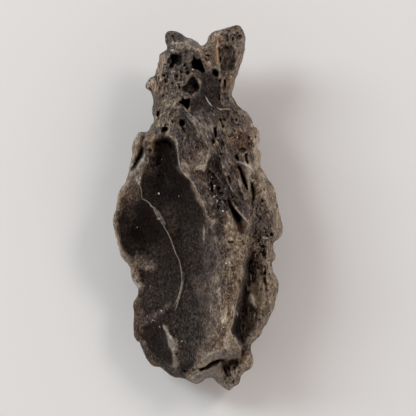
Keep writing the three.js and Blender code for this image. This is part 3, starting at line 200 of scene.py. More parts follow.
FLANGE = [
    (EASY, "floor of the cleft", [[7.8, -6.6, 7.6], [7.5, -8.6, 6.9], [7.2, -10.6, 6.6],
     [6.9, -12.6, 6.4], [6.7, -14.6, 6.2], [6.4, -16.6, 6], [6.6, -18.5, 5.8]]),
    (EASY, "lower crest", [[9, -5.4, 9], [9.1, -7.3, 8.8], [9.3, -9, 8.6], [9.4, -11, 8.4],
     [9.1, -13, 8], [8.5, -15, 7.5], [7.9, -16.6, 7], [7.2, -17.7, 6.5]]),
    (EASY, "upper crest", [[8.7, 4.2, 8.9], [9.2, 2.2, 9.3], [9.4, 0.2, 9.4], [9.7, -1.8, 9.2],
     [9.9, -3.3, 8.9]]),
    (EASY, "inner slope", [[7.9, 3.4, 9.3], [8, 1.4, 9.6], [7.9, -0.6, 9.8]]),
]

HEAD = [
    (KEEN, "horn ridge", [[-3.8, 23.2, 9.5], [-3.2, 22.5, 10.2], [-1.8, 22.3, 10.7],
     [-0.6, 21.6, 11.2], [0.2, 21, 11.5], [0.9, 20.2, 11.7], [1.2, 19.2, 11.5]]),
    (EASY, "top of the head", [[-3.6, 21.4, 10.6], [-2.2, 20.9, 11.6], [-1, 20.2, 12],
     [-0.4, 18.9, 12.3]]),
    (EASY, "middle of the head", [[-4.4, 19.2, 10.2], [-3.2, 18.6, 11.8], [-2, 18, 12.5],
     [-1.4, 16.2, 12.7], [-2.4, 15.2, 12.4]]),
    (EASY, "left of the head", [[-5.2, 17.2, 8.9], [-4.4, 16.2, 10.4], [-4.2, 14.8, 10.8],
     [-4.9, 13.6, 9.6]]),
    (KEEN, "rim of the saddle", [[1.2, 19.2, 11.5], [1.8, 18.5, 11.4], [3, 18.7, 10.6],
     [3.35, 18, 10.4], [3.5, 17.2, 10.3], [3.35, 16.3, 10.2], [3, 15.6, 10.3]]),
    (EASY, "floor of the saddle", [[0.6, 17.6, 11.6], [1.6, 16.6, 10.9], [2.2, 15.6, 10.5],
     [2.6, 14.6, 10.4]]),
    (KEEN, "foot of the saddle", [[1.2, 15, 11.4], [1.5, 14.4, 11.6], [2, 13.8, 11.6],
     [2.7, 13.4, 11.5], [3.4, 13.25, 11.2], [4.2, 13.4, 10.6]]),
    (KEEN, "slot beside the stem", [[3.55, 18.2, 8.8], [3.75, 17.2, 8.4], [3.6, 16.2, 8.6]]),
    (EASY, "stem of the ear", [[4.4, 18.2, 9.2], [4.3, 17, 8.9], [4.1, 15.6, 8.9]]),
    (KEEN, "buff ridge of the ear", [[3, 24, 9.6], [2.95, 22.6, 10.5], [2.85, 21.2, 10.9],
     [2.85, 19.9, 10.9], [3.1, 19, 10.5]]),
    (KEEN, "left of the ear panel", [[3.2, 21.9, 10], [3.15, 20.6, 10], [3.3, 19.2, 9.8]]),
    (EASY, "middle of the ear panel", [[4.2, 21.6, 9.7], [4.2, 20.4, 9.5], [4.2, 19.3, 9.3]]),
    (KEEN, "right of the ear panel", [[5, 22, 9.9], [5.1, 20.6, 9.7], [4.9, 19.2, 9.4]]),
    (EASY, "rim of the ear", [[3.6, 23.5, 10], [4.7, 24, 10.2], [5.5, 23.7, 10.3],
     [5.8, 22.2, 10.2], [5.6, 20.6, 10], [5.2, 19, 9.6]]),
    (EASY, "dip between head and ear", [[1.4, 21.3, 10.2], [2.1, 20.2, 10.6], [2.2, 19.2, 10.9]]),
]

FOOT = [
    (KEEN, "edge of the lip", [[-0.1, -21.9, 7.4], [0.6, -21.95, 7.9], [1.3, -21.4, 8.5],
     [2.1, -20.85, 9], [3, -20.5, 9.3], [4, -20.4, 9.5], [5, -20.4, 9.7], [5.7, -20.1, 9.9],
     [5.75, -19.3, 10.8]]),
    (EASY, "crest of the lip", [[0.2, -21.2, 8.4], [1.1, -20.6, 9.2], [2.2, -20, 9.9],
     [3.5, -19.8, 10.3], [5, -19.8, 10.5]]),
    (KEEN, "dip behind the lip", [[0.8, -20.2, 8.9], [1.8, -19.6, 9.4], [3.4, -19.3, 10.2],
     [4.2, -19.5, 10.5]]),
    (KEEN, "under the lip", [[0.5, -22.35, 6.2], [1.5, -21.8, 5.8], [2.6, -21.15, 5.6],
     [3.6, -20.9, 5.7], [4.8, -20.9, 5.2], [5.9, -20.6, 5.2], [6.2, -19.4, 5.6]]),
    (EASY, "tongue", [[0.4, -23, 5.9], [1.6, -22.6, 6], [2.8, -21.9, 6.1], [3.6, -21.2, 6.3]]),
    (KEEN, "edge of the tongue", [[3.6, -21.2, 6.3], [3.1, -22, 6.1], [2.75, -22.8, 5.6],
     [2.5, -23.3, 5.1]]),
    (KEEN, "slot of the lobe", [[3.7, -21.6, 4.8], [3.8, -22.4, 4.6], [4.1, -23, 4.7]]),
    (EASY, "grey lobe", [[4.6, -22.2, 5.7], [4.5, -23.2, 5.6], [4.5, -24.1, 5.2]]),
    (EASY, "tan lobe", [[6.4, -20.6, 6.3], [6.6, -21.3, 6.5], [6.3, -22, 6.1]]),
]

UNDERSIDE = [
    (KEEN, "head keel", [[-0.4, 14, 2.3], [0.8, 11, 0.4], [1.3, 8.8, -0.9], [1.5, 6.6, -0.9],
     [2.3, 3.4, 0.8]]),
    (KEEN, "right keel", [[4.2, -4.5, 0.9], [4.8, -7.6, -0.9], [4.7, -10.4, -0.9], [4, -14, 0.6],
     [3, -19, 2]]),
    (KEEN, "left keel", [[-4, 3, 2], [-5.4, -1.6, 0.6], [-5.3, -5, -0.9], [-5, -7.8, -0.9],
     [-4.6, -12, 0.8], [-3.6, -18, 2.2]]),
    (EASY, "long hollow", [[-1.2, 3, 2.4], [-0.4, -2, 3], [0, -7, 3.2], [-0.6, -12, 2.7],
     [-0.8, -16, 2.4]]),
    (KEEN, "flow ridge", [[3, 2.4, 1], [2, -1.5, 1.5], [1.7, -5.5, 1.9], [2.1, -9.5, 1.7],
     [1.6, -13.5, 1.6]]),
    (EASY, "shell hollow", [[4.6, 9, 3], [5.4, 5.5, 3.1], [5.3, 2, 2.8]]),
    (KEEN, "edge of the shell hollow", [[2.8, 11.6, 1.7], [3.4, 8.6, 1.4], [3.6, 5.4, 1.2],
     [4.4, 1.6, 1.2], [6, -0.6, 1.3], [7.8, -1, 1.6]]),
    (EASY, "under the right flange", [[7.4, 7.6, 2.8], [8.6, 3, 2.3], [9, -4, 1.9], [8.4, -9, 1.6],
     [7, -15, 2]]),
    (EASY, "under the left edge", [[-7.6, 5.6, 3.4], [-8.9, 0, 3.9], [-8.6, -5, 3.3],
     [-6.9, -11, 2.4], [-6.4, -16, 2.6]]),
    (KEEN, "seam under the head", [[-4.8, 10.6, 3.4], [-2.6, 12.8, 2.7], [-1.6, 16.4, 3.2],
     [-1.8, 20, 4.6], [-2.8, 22.6, 6]]),
    (EASY, "right of the seam", [[0.8, 16.4, 4.2], [0.4, 19.4, 5.4]]),
    (EASY, "left of the seam", [[-3.9, 15.4, 4.3], [-3.8, 18.8, 5.1]]),
    (EASY, "under the ear", [[3.6, 17, 4.9], [4.2, 20, 6.1], [4.6, 23, 7]]),
]

MM = 0.001
# the block of space that is sampled round the specimen, mm
WEST, EAST, SOUTH, NORTH, FLOOR, TOP = -13.2, 13.2, -26.6, 26.6, -1.2, 17.0
RELIEF_CELL = 0.12           # spacing of the grid that the membranes are solved on, mm
COARSE_GRIDS = (8, 4, 2, 1)  # how many cells wide the cells of each grid are, one after another
FIRST_SWEEPS, SWEEPS = 400, 160      # how often the coarsest grid and those after it are smoothed
FIRST_HEIGHT = 6.0           # height of a sheet before it is stretched, mm
EASY_PULL = 0.15             # how firmly an easy line holds a sheet


def curve(rows, closed=False, step=RELIEF_CELL * 0.7):
    """A Catmull-Rom curve through rows of any width, with a point about every step in plan."""
    rows = np.array(rows, float)
    count = len(rows)
    pieces = []
    for i in range(count if closed else count - 1):
        near = [i - 1, i, i + 1, i + 2]
        a, b, c, d = rows[[k % count if closed else min(max(k, 0), count - 1) for k in near]]
        t = np.arange(0, 1, 1 / max(1, math.ceil(math.dist(b[:2], c[:2]) / step)))[:, None]
        pieces.append(0.5 * (2 * b + (c - a) * t + (2 * a - 5 * b + 4 * c - d) * t**2
                             + (3 * b - a - 3 * c + d) * t**3))
    if not closed:
        pieces.append(rows[-1:])
    return np.vstack(pieces)


def read_sheet(sheet, x, y):
    """The height of a sheet over the whole frame at plan points, by bilinear interpolation."""
    ny, nx = sheet.shape
    u = np.clip((x - WEST) / (EAST - WEST) * (nx - 1), 0, nx - 1.001)
    v = np.clip((y - SOUTH) / (NORTH - SOUTH) * (ny - 1), 0, ny - 1.001)
    i, j = u.astype(int), v.astype(int)
    u, v = u - i, v - j
    south = sheet[j, i] * (1 - u) + sheet[j, i + 1] * u
    north = sheet[j + 1, i] * (1 - u) + sheet[j + 1, i + 1] * u
    return south * (1 - v) + north * v


def plan_grid(cell):
    nx = round((EAST - WEST) / cell) + 1
    ny = round((NORTH - SOUTH) / cell) + 1
    return np.meshgrid(np.linspace(WEST, EAST, nx), np.linspace(SOUTH, NORTH, ny))


def membrane(lines, rounding=1.0):
    """A sheet stretched over the lines. Easy lines guide the coarse grids only, so the finest
    one rounds them over, by about the given number of millimetres."""
    sheet = None
    for coarse in COARSE_GRIDS:
        x, y = plan_grid(RELIEF_CELL * coarse)
        cell = x[0, 1] - x[0, 0]
        total, pull = np.zeros(x.shape), np.zeros(x.shape)
        for keen, _, rows in lines:
            if coarse == 1 and not keen:
                continue
            i = np.rint((rows[:, 0] - WEST) / cell).astype(int)
            j = np.rint((rows[:, 1] - SOUTH) / cell).astype(int)
            strength = 1 if keen else EASY_PULL
            np.add.at(total, (j, i), rows[:, 2] * strength)
            np.add.at(pull, (j, i), strength)
        held, sheet_is_new = pull > 0, sheet is None
        guess = np.full(x.shape, FIRST_HEIGHT) if sheet_is_new else read_sheet(sheet, x, y)
        sheet = np.where(held, total / np.maximum(pull, 1e-9), guess)
        sweeps = FIRST_SWEEPS if sheet_is_new else SWEEPS
        if coarse == 1:
            sweeps = int(2 * (rounding / cell) ** 2 / 4)
        for _ in range(sweeps):
            p = np.pad(sheet, 1, mode="edge")
            mean = (p[:-2, 1:-1] + p[2:, 1:-1] + p[1:-1, :-2] + p[1:-1, 2:]) / 4
            sheet = np.where(held, sheet, mean)
    return sheet


def as_curves(lines):
    return [(keen, name, curve(rows)) for keen, name, rows in lines]


outline = curve(RIM, closed=True)
half = outline[:, 3]


def rim_line(height):
    return (KEEN, "rim", np.column_stack([outline[:, :2], height]))


upper = membrane(as_curves(SCOOPS + BLADE + MIDDLE + BAND + FLANGE + HEAD + FOOT)
                 + [rim_line(outline[:, 2] + half)])
lower = membrane(as_curves(UNDERSIDE) + [rim_line(outline[:, 2] - half)])
blunt = membrane([rim_line(half)])

# ------------------------------------------------------------------------------------------
# The fine relief of the upper side. Gas bubbles burst through it, the stiff melt was drawn out
# into threads, and cracks and crevices opened along them. Each is set out in plan, in mm.

CELL = 0.15      # spacing of the samples that the skin is drawn through, mm
plan_x, plan_y = plan_grid(CELL)
xs, ys = plan_x[0], plan_y[:, 0]
zs = np.arange(FLOOR, TOP, CELL)

# burst bubbles: depth, width of the wall, outline of the mouth
HOLES = [
    (1.7, 0.35, [(-3.7, 20.6), (-3.2, 21), (-2.5, 20.95), (-2, 20.6), (-2.05, 19.7), (-2.5, 19.35),
     (-3, 19.4), (-3.2, 19), (-3.7, 19.1), (-3.7, 19.9)]),
    (2.6, 0.25, [(-0.5, 20.7), (-0.15, 20.2), (0.35, 20.15), (0.6, 19.85), (0.9, 19.2),
     (1.15, 18.4), (0.5, 18.4), (-0.1, 18.7), (-0.8, 18.95), (-0.7, 19.3), (-0.85, 19.6),
     (-0.6, 20.1)]),
    (1.1, 0.5, [(-2, 16.5), (-1.5, 16.9), (-1.2, 17.5), (-0.85, 18), (-0.35, 17.95), (0, 17.5),
     (0.3, 17), (0.35, 16.4), (0.1, 15.9), (-0.3, 15.5), (-0.8, 15.15), (-1.3, 15.6), (-1.9, 15.8),
     (-2.15, 16.2)]),
    (2.4, 0.25, [(-1.95, 15.1), (-1.7, 14.8), (-0.95, 14.8), (-1, 14), (-1.1, 13.5), (-1.3, 13),
     (-1.7, 13.4), (-2.1, 13.9), (-2.8, 14.15), (-2.4, 14.5), (-2.1, 14.65)]),
    (1.4, 0.25, [(2.15, 18.8), (2.5, 18.8), (2.9, 18.4), (2.8, 17.8), (2.45, 17.85),
     (2.05, 18.3)]),
    (1.5, 0.2, [(-5.15, 9.85), (-4.8, 10.9), (-4.5, 11.05), (-4, 10.95), (-3.85, 10.6),
     (-4.3, 10.3)]),
    (1.5, 0.2, [(-2.4, 11.4), (-2.2, 12), (-1.8, 12.05), (-1.55, 11.6), (-1.75, 11.05),
     (-2.15, 11)]),
    (1.2, 0.2, [(-6, 12), (-5.6, 12.4), (-5.55, 12.85), (-5.3, 13.2), (-5, 13.05), (-5.05, 12.5),
     (-5.4, 12.15)]),
    (0.8, 0.15, [(-5.5, 14.25), (-5.3, 14.6), (-4.9, 14.8), (-4.75, 14.55), (-5.2, 14.2)]),
    (0.7, 0.2, [(-6.65, 7.85), (-6.45, 8.05), (-6.2, 7.9), (-6.25, 7.6), (-6.5, 7.55)]),
    (0.5, 0.3, [(-3, 18), (-2.5, 18.1), (-2.1, 17.8), (-2.2, 17.1), (-2.7, 17.1), (-3.05, 17.5)]),
    (0.8, 0.2, [(8.7, -6), (9, -5.8), (9.4, -6.1), (9.35, -6.7), (8.95, -6.75), (8.75, -6.4)]),
    (0.8, 0.2, [(9.9, -3.3), (10.2, -3.4), (10.35, -3.8), (10, -4), (9.8, -3.7)]),
    (0.7, 0.2, [(8.7, 1.2), (9, 1.1), (9, 0.6), (8.75, 0.6), (8.6, 0.9)]),
    (0.35, 0.15, [(3.15, 21.9), (4.1, 22.1), (5.05, 21.9), (5.15, 20.5), (5, 19.1), (4.2, 18.9),
     (3.4, 19.3), (3.3, 20.6)]),
]

# small burst bubbles: x, y, radius
PITS = [
    (-1.15, 21.75, 0.2), (-0.75, 21.5, 0.18), (-1.5, 21.2, 0.2), (-0.6, 21.2, 0.15),
    (-1.7, 19.3, 0.22), (-1.4, 18.9, 0.2), (-1.2, 18.3, 0.26), (-2.2, 18.4, 0.22),
    (-2.35, 16.3, 0.22), (-3.4, 16.9, 0.2), (-4, 16.5, 0.22), (-2.7, 15.1, 0.16),
    (-3.6, 15.3, 0.16), (-3.3, 11.7, 0.24), (-2.7, 12.8, 0.2), (1.4, 20.1, 0.2), (1, 20.9, 0.16),
    (4.9, 23.05, 0.24), (3.05, 22.6, 0.16), (2.5, 22.3, 0.16), (3.4, 18.9, 0.22),
    (4.6, 18.2, 0.22), (3.1, 17.3, 0.2), (2.5, 15.3, 0.16), (4.7, 11.9, 0.2), (4.2, 11.6, 0.18),
    (5.2, 12.9, 0.25), (2.2, 4.6, 0.14), (2.1, 1.45, 0.16), (2.8, 1.6, 0.14), (2.05, 1.1, 0.12),
    (2.9, 1.1, 0.12), (8.2, -6.5, 0.25), (8.2, -0.7, 0.18), (6.2, -7.75, 0.16), (2.9, -17.1, 0.15),
    (5.7, -13.9, 0.18), (5.85, -14.3, 0.15), (-1.6, -22.4, 0.22), (-0.95, -22.4, 0.2),
    (-1.1, -22.95, 0.16), (-1.75, -22.95, 0.2), (-0.45, -22.3, 0.16), (-5.8, 5.5, 0.12),
    (6.9, 8.6, 0.3), (7.4, 8.5, 0.25), (4.2, 8.2, 0.16), (3.5, 8.8, 0.2), (6.1, 12.3, 0.2),
]

# cracks and crevices: depth, half width, line
SLITS = [
    (1.4, 0.26, [(2.35, 10.8), (2.45, 10.1), (2.5, 9.55)]),
    (0.9, 0.16, [(3.15, 12), (3.3, 11.5), (3.5, 11)]), (0.9, 0.16, [(2.1, 9.2), (2.2, 8.85)]),
    (0.9, 0.16, [(2.65, 9.4), (2.9, 9.1)]), (0.7, 0.16, [(2.95, 7.75), (3.25, 7.2)]),
    (1.2, 0.22, [(5.3, 6.95), (5.55, 6.45)]), (1.2, 0.18, [(6.6, 7.2), (6.7, 6.5), (6.9, 6.05)]),
    (1.3, 0.15, [(5.6, 5.6), (5.9, 5.1), (6.1, 4.4), (6.35, 3.7), (6.6, 3.1), (6.85, 2.5)]),
    (0.8, 0.2, [(8, 4.3), (7.85, 3.8)]),
    (1.2, 0.17, [(7.5, 3.3), (7.6, 2.5), (7.7, 1.9), (7.6, 1.1), (7.4, 0.1)]),
    (0.7, 0.14, [(1.8, 3.45), (1.9, 3.05)]), (0.9, 0.14, [(2, 2.85), (2, 2.3)]),
    (1.1, 0.16, [(3.7, 1), (3.95, 0.4)]), (1.1, 0.18, [(4.1, -0.2), (4.55, -0.95)]),
    (0.7, 0.16, [(4.3, 3), (4.5, 2.4), (4.9, 1.9)]), (0.8, 0.18, [(7.3, 0), (7.5, -0.9)]),
    (0.6, 0.16, [(4.2, -4.7), (5, -4.75)]), (0.4, 0.14, [(1.55, -10.6), (1.4, -11), (1.2, -11.5)]),
    (1.3, 0.16, [(7.35, -9), (7.55, -9.6), (7.6, -10.3)]),
    (1, 0.2, [(9.1, -7.9), (9.25, -8.6), (9.15, -9.1)]),
    (0.9, 0.18, [(9.15, -9.7), (9.3, -10.4), (9.4, -11.3)]),
    (1, 0.2, [(3.6, -21.7), (3.8, -22.4), (4.1, -23)]),
    (0.8, 0.2, [(-3.35, 23.4), (-3.2, 23), (-3, 22.6)]), (0.6, 0.18, [(4.1, 23.4), (4.15, 22.7)]),
    (0.8, 0.18, [(-2, 11), (-1.85, 10.6), (-1.7, 10.25)]),
    (1, 0.2, [(3.7, 17.4), (3.6, 16.7), (3.5, 16)]), (0.8, 0.14, [(3, 15.3), (3, 14.7)]),
    (1, 0.2, [(2.95, 21.8), (3, 20.8), (3.2, 19.6), (3.4, 18.9)]),
    (0.3, 0.35, [(-7.5, -8.7), (-7.4, -9.4), (-7.35, -10.1)]),
    (0.4, 0.2, [(-3.1, -13), (-2.9, -13.6)]),
    (0.25, 0.14, [(-2.15, -9.7), (-2.3, -10.8), (-2.55, -11.8), (-2.9, -12.9)]),
    (0.9, 0.2, [(5.7, -10), (5.85, -10.6), (5.75, -11.2)]),
    (0.8, 0.2, [(4.65, -16.6), (4.85, -17.2), (5.2, -17.7)]),
    (0.6, 0.16, [(3.75, 5.1), (4.2, 4.3), (4.5, 3.5)]),
    (0.5, 0.16, [(5.5, 2.8), (5.9, 1.8), (6.2, 1)]),
    (0.6, 0.16, [(4.7, 1.6), (5, 0.8), (5.5, 0.2)]), (0.5, 0.14, [(3, 6.6), (3.5, 5.8)]),
    (0.5, 0.16, [(-5.9, 9.25), (-5.2, 9.3)]),
    (0.8, 0.2, [(-4.9, 9.2), (-4.5, 9.05), (-4.1, 9.05)]),
    (1.2, 0.2, [(0.55, -22.2), (1.2, -21.75), (2, -21.3), (2.8, -20.95), (3.5, -20.8)]),
    (0.4, 0.26, [(-7.5, 8), (-7.7, 7.2), (-8.1, 6.4), (-8.5, 5.6)]),
]

# broad swells and dips: height, width of the slope, outline of the place
SWELLS = [
    (2, 0.7, [(-1.4, -23.4), (-0.6, -22.5), (0.5, -22), (1.2, -21.6), (2, -21.1), (3.5, -20.6),
     (3.4, -21.6), (2.7, -22.7), (1.7, -23.2), (0.6, -23.9), (-0.4, -24.2)]),
    (-0.9, 2.4, [(-6.8, 7.6), (-5.8, 9.3), (-4.2, 9.6), (-3.2, 8.6), (-2.8, 7), (-2.6, 5.2),
     (-2.6, 3.4), (-4, 2.6), (-5.8, 3.8), (-6.6, 6)]),
    (1.1, 0.8, [(-4.6, 9.1), (-3.6, 9), (-3.1, 7.6), (-2.8, 6.2), (-2.4, 4.9), (-3.4, 4.9),
     (-4, 6.2), (-4.4, 7.6)]),
]

# the hollow shell-shaped breaks, whose faces are smooth, and the sharp ridge between two of them
BREAK = [
    (-6.9, 8.6), (-4, 9), (-3, 7.4), (-2.6, 5.2), (-1.6, 4), (-0.6, 2.4), (0.3, 0.2), (0.6, -2.4),
    (0.5, -9), (0.9, -14), (0.4, -18), (-1, -22), (-3.4, -22.4), (-6.6, -20), (-8, -16.4),
    (-8, -13), (-7.3, -10.6), (-8.4, -7.8), (-10.4, -4.6), (-10.7, -1.6), (-9.6, 1), (-8.2, 3),
    (-7.4, 6),
]
BREAK_ROUNDS, BREAK_SOFTNESS = 120, 1.2  # how often the faces are smoothed, softness, mm

# raised threads and splinters: height, half width, line
RIBS = [
    (0.25, 0.2, [(-3.9, 15), (-2.7, 14.15), (-1.2, 12.9), (-0.5, 11.7), (0.3, 10.8), (0.9, 9.7),
     (1.5, 8.5)]), (0.2, 0.16, [(-1.4, 12.5), (-0.9, 11.8), (-0.2, 11.1), (0.2, 10.3)]),
    (0.18, 0.14, [(-0.3, 12.3), (0.2, 11.5), (0.9, 10.9), (1.3, 10)]),
    (0.2, 0.15, [(1.2, 15), (1.5, 14.4), (1.95, 13.85)]),
    (0.2, 0.15, [(2.7, 13.6), (3.3, 13.25), (4.3, 13.4)]),
    (0.2, 0.2, [(3.4, 15.8), (3.65, 16.9), (3.75, 17.9), (3.9, 18.8)]),
    (0.35, 0.3, [(2.9, 23.6), (2.75, 22.6), (2.6, 21.4), (2.6, 20.4), (2.8, 19.6)]),
    (0.3, 0.25, [(-3.6, 21.4), (-3.35, 21.5)]),
    (0.25, 0.25, [(4.6, 19.9), (4.4, 18.8), (4.5, 17.8)]),
    (0.2, 0.2, [(3.5, 21.6), (3.8, 20.6), (4.1, 19.6)]),
    (0.2, 0.2, [(4.5, 21.8), (4.8, 20.6), (4.8, 19.4)]),
    (0.3, 0.18, [(5.2, -0.1), (5.9, -0.9), (6.6, -1.7), (7, -2.2)]),
    (0.3, 0.2, [(4.2, 3.1), (4.8, 2.2), (5.3, 1.6)]),
    (0.25, 0.18, [(5.1, 2.3), (5.7, 1.3), (6.1, 0.6)]),
    (0.3, 0.25, [(5.6, 3.9), (5.9, 3.1), (6.1, 2.2)]),
    (0.3, 0.25, [(5.3, 6.3), (6.5, 5.9), (7.4, 5.3)]),
    (0.2, 0.16, [(2.8, 7), (3.3, 6.2), (3.5, 5.5)]), (0.25, 0.2, [(7.9, 1.4), (8.5, 1.6), (9, 2)]),
    (0.25, 0.16, [(8.6, -3), (9.2, -3.6)]), (0.2, 0.14, [(8.2, -3.3), (8.9, -4)]),
    (0.4, 0.25, [(8.9, -4.1), (9.4, -4.2), (9.7, -4.3)]), (0.3, 0.14, [(7.25, -9.2), (7.4, -10)]),
    (0.3, 0.16, [(6.85, -10.6), (6.95, -11.3)]),
    (0.4, 0.3, [(7.3, -12), (7.5, -12.8), (7.9, -13.5)]),
    (0.3, 0.3, [(-3.5, -17.9), (-3.2, -18.8)]),
    (0.3, 0.2, [(-4.6, -16.2), (-4, -16.9), (-3.5, -17.8)]),
    (0.2, 0.16, [(-1.9, -9.4), (-2, -10.4), (-2.2, -11.4), (-2.45, -12.4), (-2.7, -13.3),
     (-3, -14)]), (0.35, 0.25, [(-5.4, -1.6), (-4.9, -1.5)]),
    (0.2, 0.2, [(-4.7, -1.9), (-4.2, -2.3)]), (0.25, 0.2, [(1.3, -0.9), (1.7, -1.6), (2.3, -1.9)]),
    (0.15, 0.3, [(2.3, -5.6), (2.3, -6.8)]), (0.2, 0.18, [(-2.9, 9.4), (-2.6, 8.6), (-2.5, 7.7)]),
    (0.2, 0.2, [(-7, 8), (-6.6, 7.3), (-6.3, 7.1)]),
    (0.2, 0.2, [(-8.3, 3.4), (-7.7, 2.8), (-7.6, 1.9)]),
]

# where the melt was drawn out: angle of the threads in degrees, then places x, y, reach, strength
DRAWN = [
    (-63, [(0, 11, 3, 1), (2.6, 8.4, 3, 1), (3.6, 4.6, 3.2, 1), (4.6, 1.4, 2.6, 1),
     (8.2, 6, 2.6, 0.7), (6.4, 3.4, 2.4, 0.8), (-1, 8.8, 1.6, 0.5)]),
    (-86, [(3.2, -5, 2.8, 0.5), (3.6, -10, 3, 0.55), (3.4, -15, 3, 0.6), (9.2, -9, 3, 0.7),
     (9.6, -1, 2.6, 0.6), (7, -16, 2.4, 0.6), (4.6, -23, 2, 0.8)]),
    (-98, [(-5, 16.8, 2.2, 1), (-2.6, 17, 1.8, 0.6), (-4.6, 19.4, 1.6, 0.8), (4.2, 20.6, 2.4, 0.9),
     (4.2, 16.8, 1.6, 0.7), (5, 23.4, 1.6, 0.6)]),
    (58, [(-5.2, 11.2, 2.2, 0.9), (-3.4, 13, 1.4, 0.7), (-6.2, 9, 1.6, 0.8),
     (3, -20.2, 2.4, 0.4)]),
    (86, [(-1, -6, 5, 0.15), (-1, -14, 5, 0.2), (-5, -8, 4, 0.12), (-5.6, -18, 3, 0.2),
     (1.4, -4, 2.8, 0.4), (0.8, -9, 2.8, 0.35), (0.6, -15, 2.8, 0.35)]),
]

THREAD, THREAD_HEIGHT = 0.45, 0.22       # spacing of the drawn threads and how far they stand, mm
LONG, FINE_LONG, FINE_SHARE = 5, 4, 0.6  # how many times longer than wide threads and fine threads
                                         # are, and how far a fine one stands for a thread's height
SWAY, SWAY_SPACING = 0.35, 2.4           # how far and how often the threads wander sideways, mm
CALM_EDGE, PIT_EDGE, RIB_EDGE = 0.8, 0.5, 0.4    # how near the rim threads, pits and ribs die, mm
RIDGE_GUARD, GUARD_WIDTH = 0.25, 0.8     # how near a sharp ridge the faces aren't smoothed, mm
SMOOTHED_CELL = 0.15                     # the spacing that BREAK_ROUNDS is meant for, mm
RAGGED, RAGGED_SPACING = 0.16, 0.6       # how far and how often the border of a pit wanders, mm
LIP, LIP_OUT, LIP_HALF = 0.12, 0.15, 0.3         # a burst bubble's lip: height, place, width, mm
PIT_DEPTH, SLIT_DEPTH = 1.6, 0.75        # depth of a pit for its radius, of a slit for its depth


def ease(t):
    t = np.clip(t, 0, 1)
    return t * t * (3 - 2 * t)


def distance_to(points, far):
    """How far each place of the plan grid lies from a line of points, up to a limit."""
    distance = np.full(plan_x.shape, float(far))
    reach = int(far / CELL) + 2
    for px, py in points[:, :2]:
        i, j = int((px - WEST) / CELL), int((py - SOUTH) / CELL)
        window = (slice(max(j - reach, 0), j + reach), slice(max(i - reach, 0), i + reach))
        away = np.hypot(plan_x[window] - px, plan_y[window] - py)
        np.minimum(distance[window], away, out=distance[window])
    return distance


def outside_of(points, far=2.6):
    """How far each place of the plan grid lies outside a closed outline; negative inside it."""
    distance = distance_to(points, far)
    ends = np.roll(points, -1, axis=0)
    for row, level in enumerate(ys):
        crossed = (points[:, 1] > level) != (ends[:, 1] > level)
        a, b = points[crossed], ends[crossed]
        hits = np.sort(a[:, 0] + (level - a[:, 1]) / (b[:, 1] - a[:, 1]) * (b[:, 0] - a[:, 0]))
        distance[row] *= np.where(np.searchsorted(hits, xs) % 2 == 1, -1, 1)
    return distance


def patches(x, y, rows, least=0.0):
    """The strongest of several soft round patches at plan points."""
    most = np.full(np.shape(x), float(least))
    for px, py, reach, strength in rows:
        fade = 1 - ease((np.hypot(x - px, y - py) / reach - 0.5) / 0.5)
        most = np.maximum(most, strength * fade)
    return most


def chance(i, j, k):
    """A repeatable number from 0 to 1 for each point of a lattice."""
    h = (i.astype(np.uint32) * np.uint32(374761393) + j.astype(np.uint32) * np.uint32(668265263)
         + k.astype(np.uint32) * np.uint32(1440662683))
    h = (h ^ (h >> np.uint32(13))) * np.uint32(1274126177)
    return (h ^ (h >> np.uint32(16))) / 4294967296


def lumps(x, y, z, spacing):
    """Smooth swells from -1 to 1, a given spacing apart, at any points."""
    p = [np.asarray(v, float) / spacing for v in (x, y, z)]
    cell = [np.floor(v).astype(np.int64) for v in p]
    u, v, w = (ease(a - b) for a, b in zip(p, cell))
    total = 0
    for i, wi in ((0, 1 - u), (1, u)):
        for j, wj in ((0, 1 - v), (1, v)):
            for k, wk in ((0, 1 - w), (1, w)):
                total = total + chance(cell[0] + i, cell[1] + j, cell[2] + k) * wi * wj * wk
    return 2 * total - 1


def drawn_frame(x, y):
    """Places across and along the drawn threads, how strongly they are drawn, and their relief."""
    relief, strongest = np.zeros(np.shape(x)), np.zeros(np.shape(x))
    best_across, best_along = x, y
    for degrees, places in DRAWN:
        c, s = math.cos(math.radians(degrees)), math.sin(math.radians(degrees))
        along = x * c + y * s
        across = y * c - x * s + SWAY * lumps(x, y, 0 * x, SWAY_SPACING)
        strength = patches(x, y, places)
        ropes = lumps(across, along / LONG, 0 * x, THREAD)
        ropes = ropes + FINE_SHARE * lumps(across, along / FINE_LONG, 9 + 0 * x, THREAD / 2)
        relief += strength * ropes
        stronger = strength > strongest
        best_across = np.where(stronger, across, best_across)
        best_along = np.where(stronger, along, best_along)
        strongest = np.maximum(strongest, strength)
    return best_across, best_along, strongest, relief


top, base = read_sheet(upper, plan_x, plan_y), read_sheet(lower, plan_x, plan_y)
rim = outside_of(outline[:, :2])
crest_line = curve(SCOOPS[0][2])
pale_line = curve([row for _, name, row in SCOOPS if name == "pale crest"][0])
settling = ease((-outside_of(curve(BREAK, closed=True), 3) - 0.3) / BREAK_SOFTNESS)
for line in (crest_line, pale_line):
    settling = settling * ease((distance_to(line, 1.6) - RIDGE_GUARD) / GUARD_WIDTH)
for _ in range(int(BREAK_ROUNDS * (SMOOTHED_CELL / CELL) ** 2)):
    p = np.pad(top, 1, mode="edge")
    top = top + settling * ((p[:-2, 1:-1] + p[2:, 1:-1] + p[1:-1, :-2] + p[1:-1, 2:]) / 4 - top)
for height, slope, place in SWELLS:
    top = top + height * ease(-outside_of(curve(place, closed=True)) / slope)
threads = ease(-rim / CALM_EDGE) * drawn_frame(plan_x, plan_y)[3]
top = top + THREAD_HEIGHT * threads
ragged = RAGGED * lumps(plan_x, plan_y, 0 * plan_x, RAGGED_SPACING)

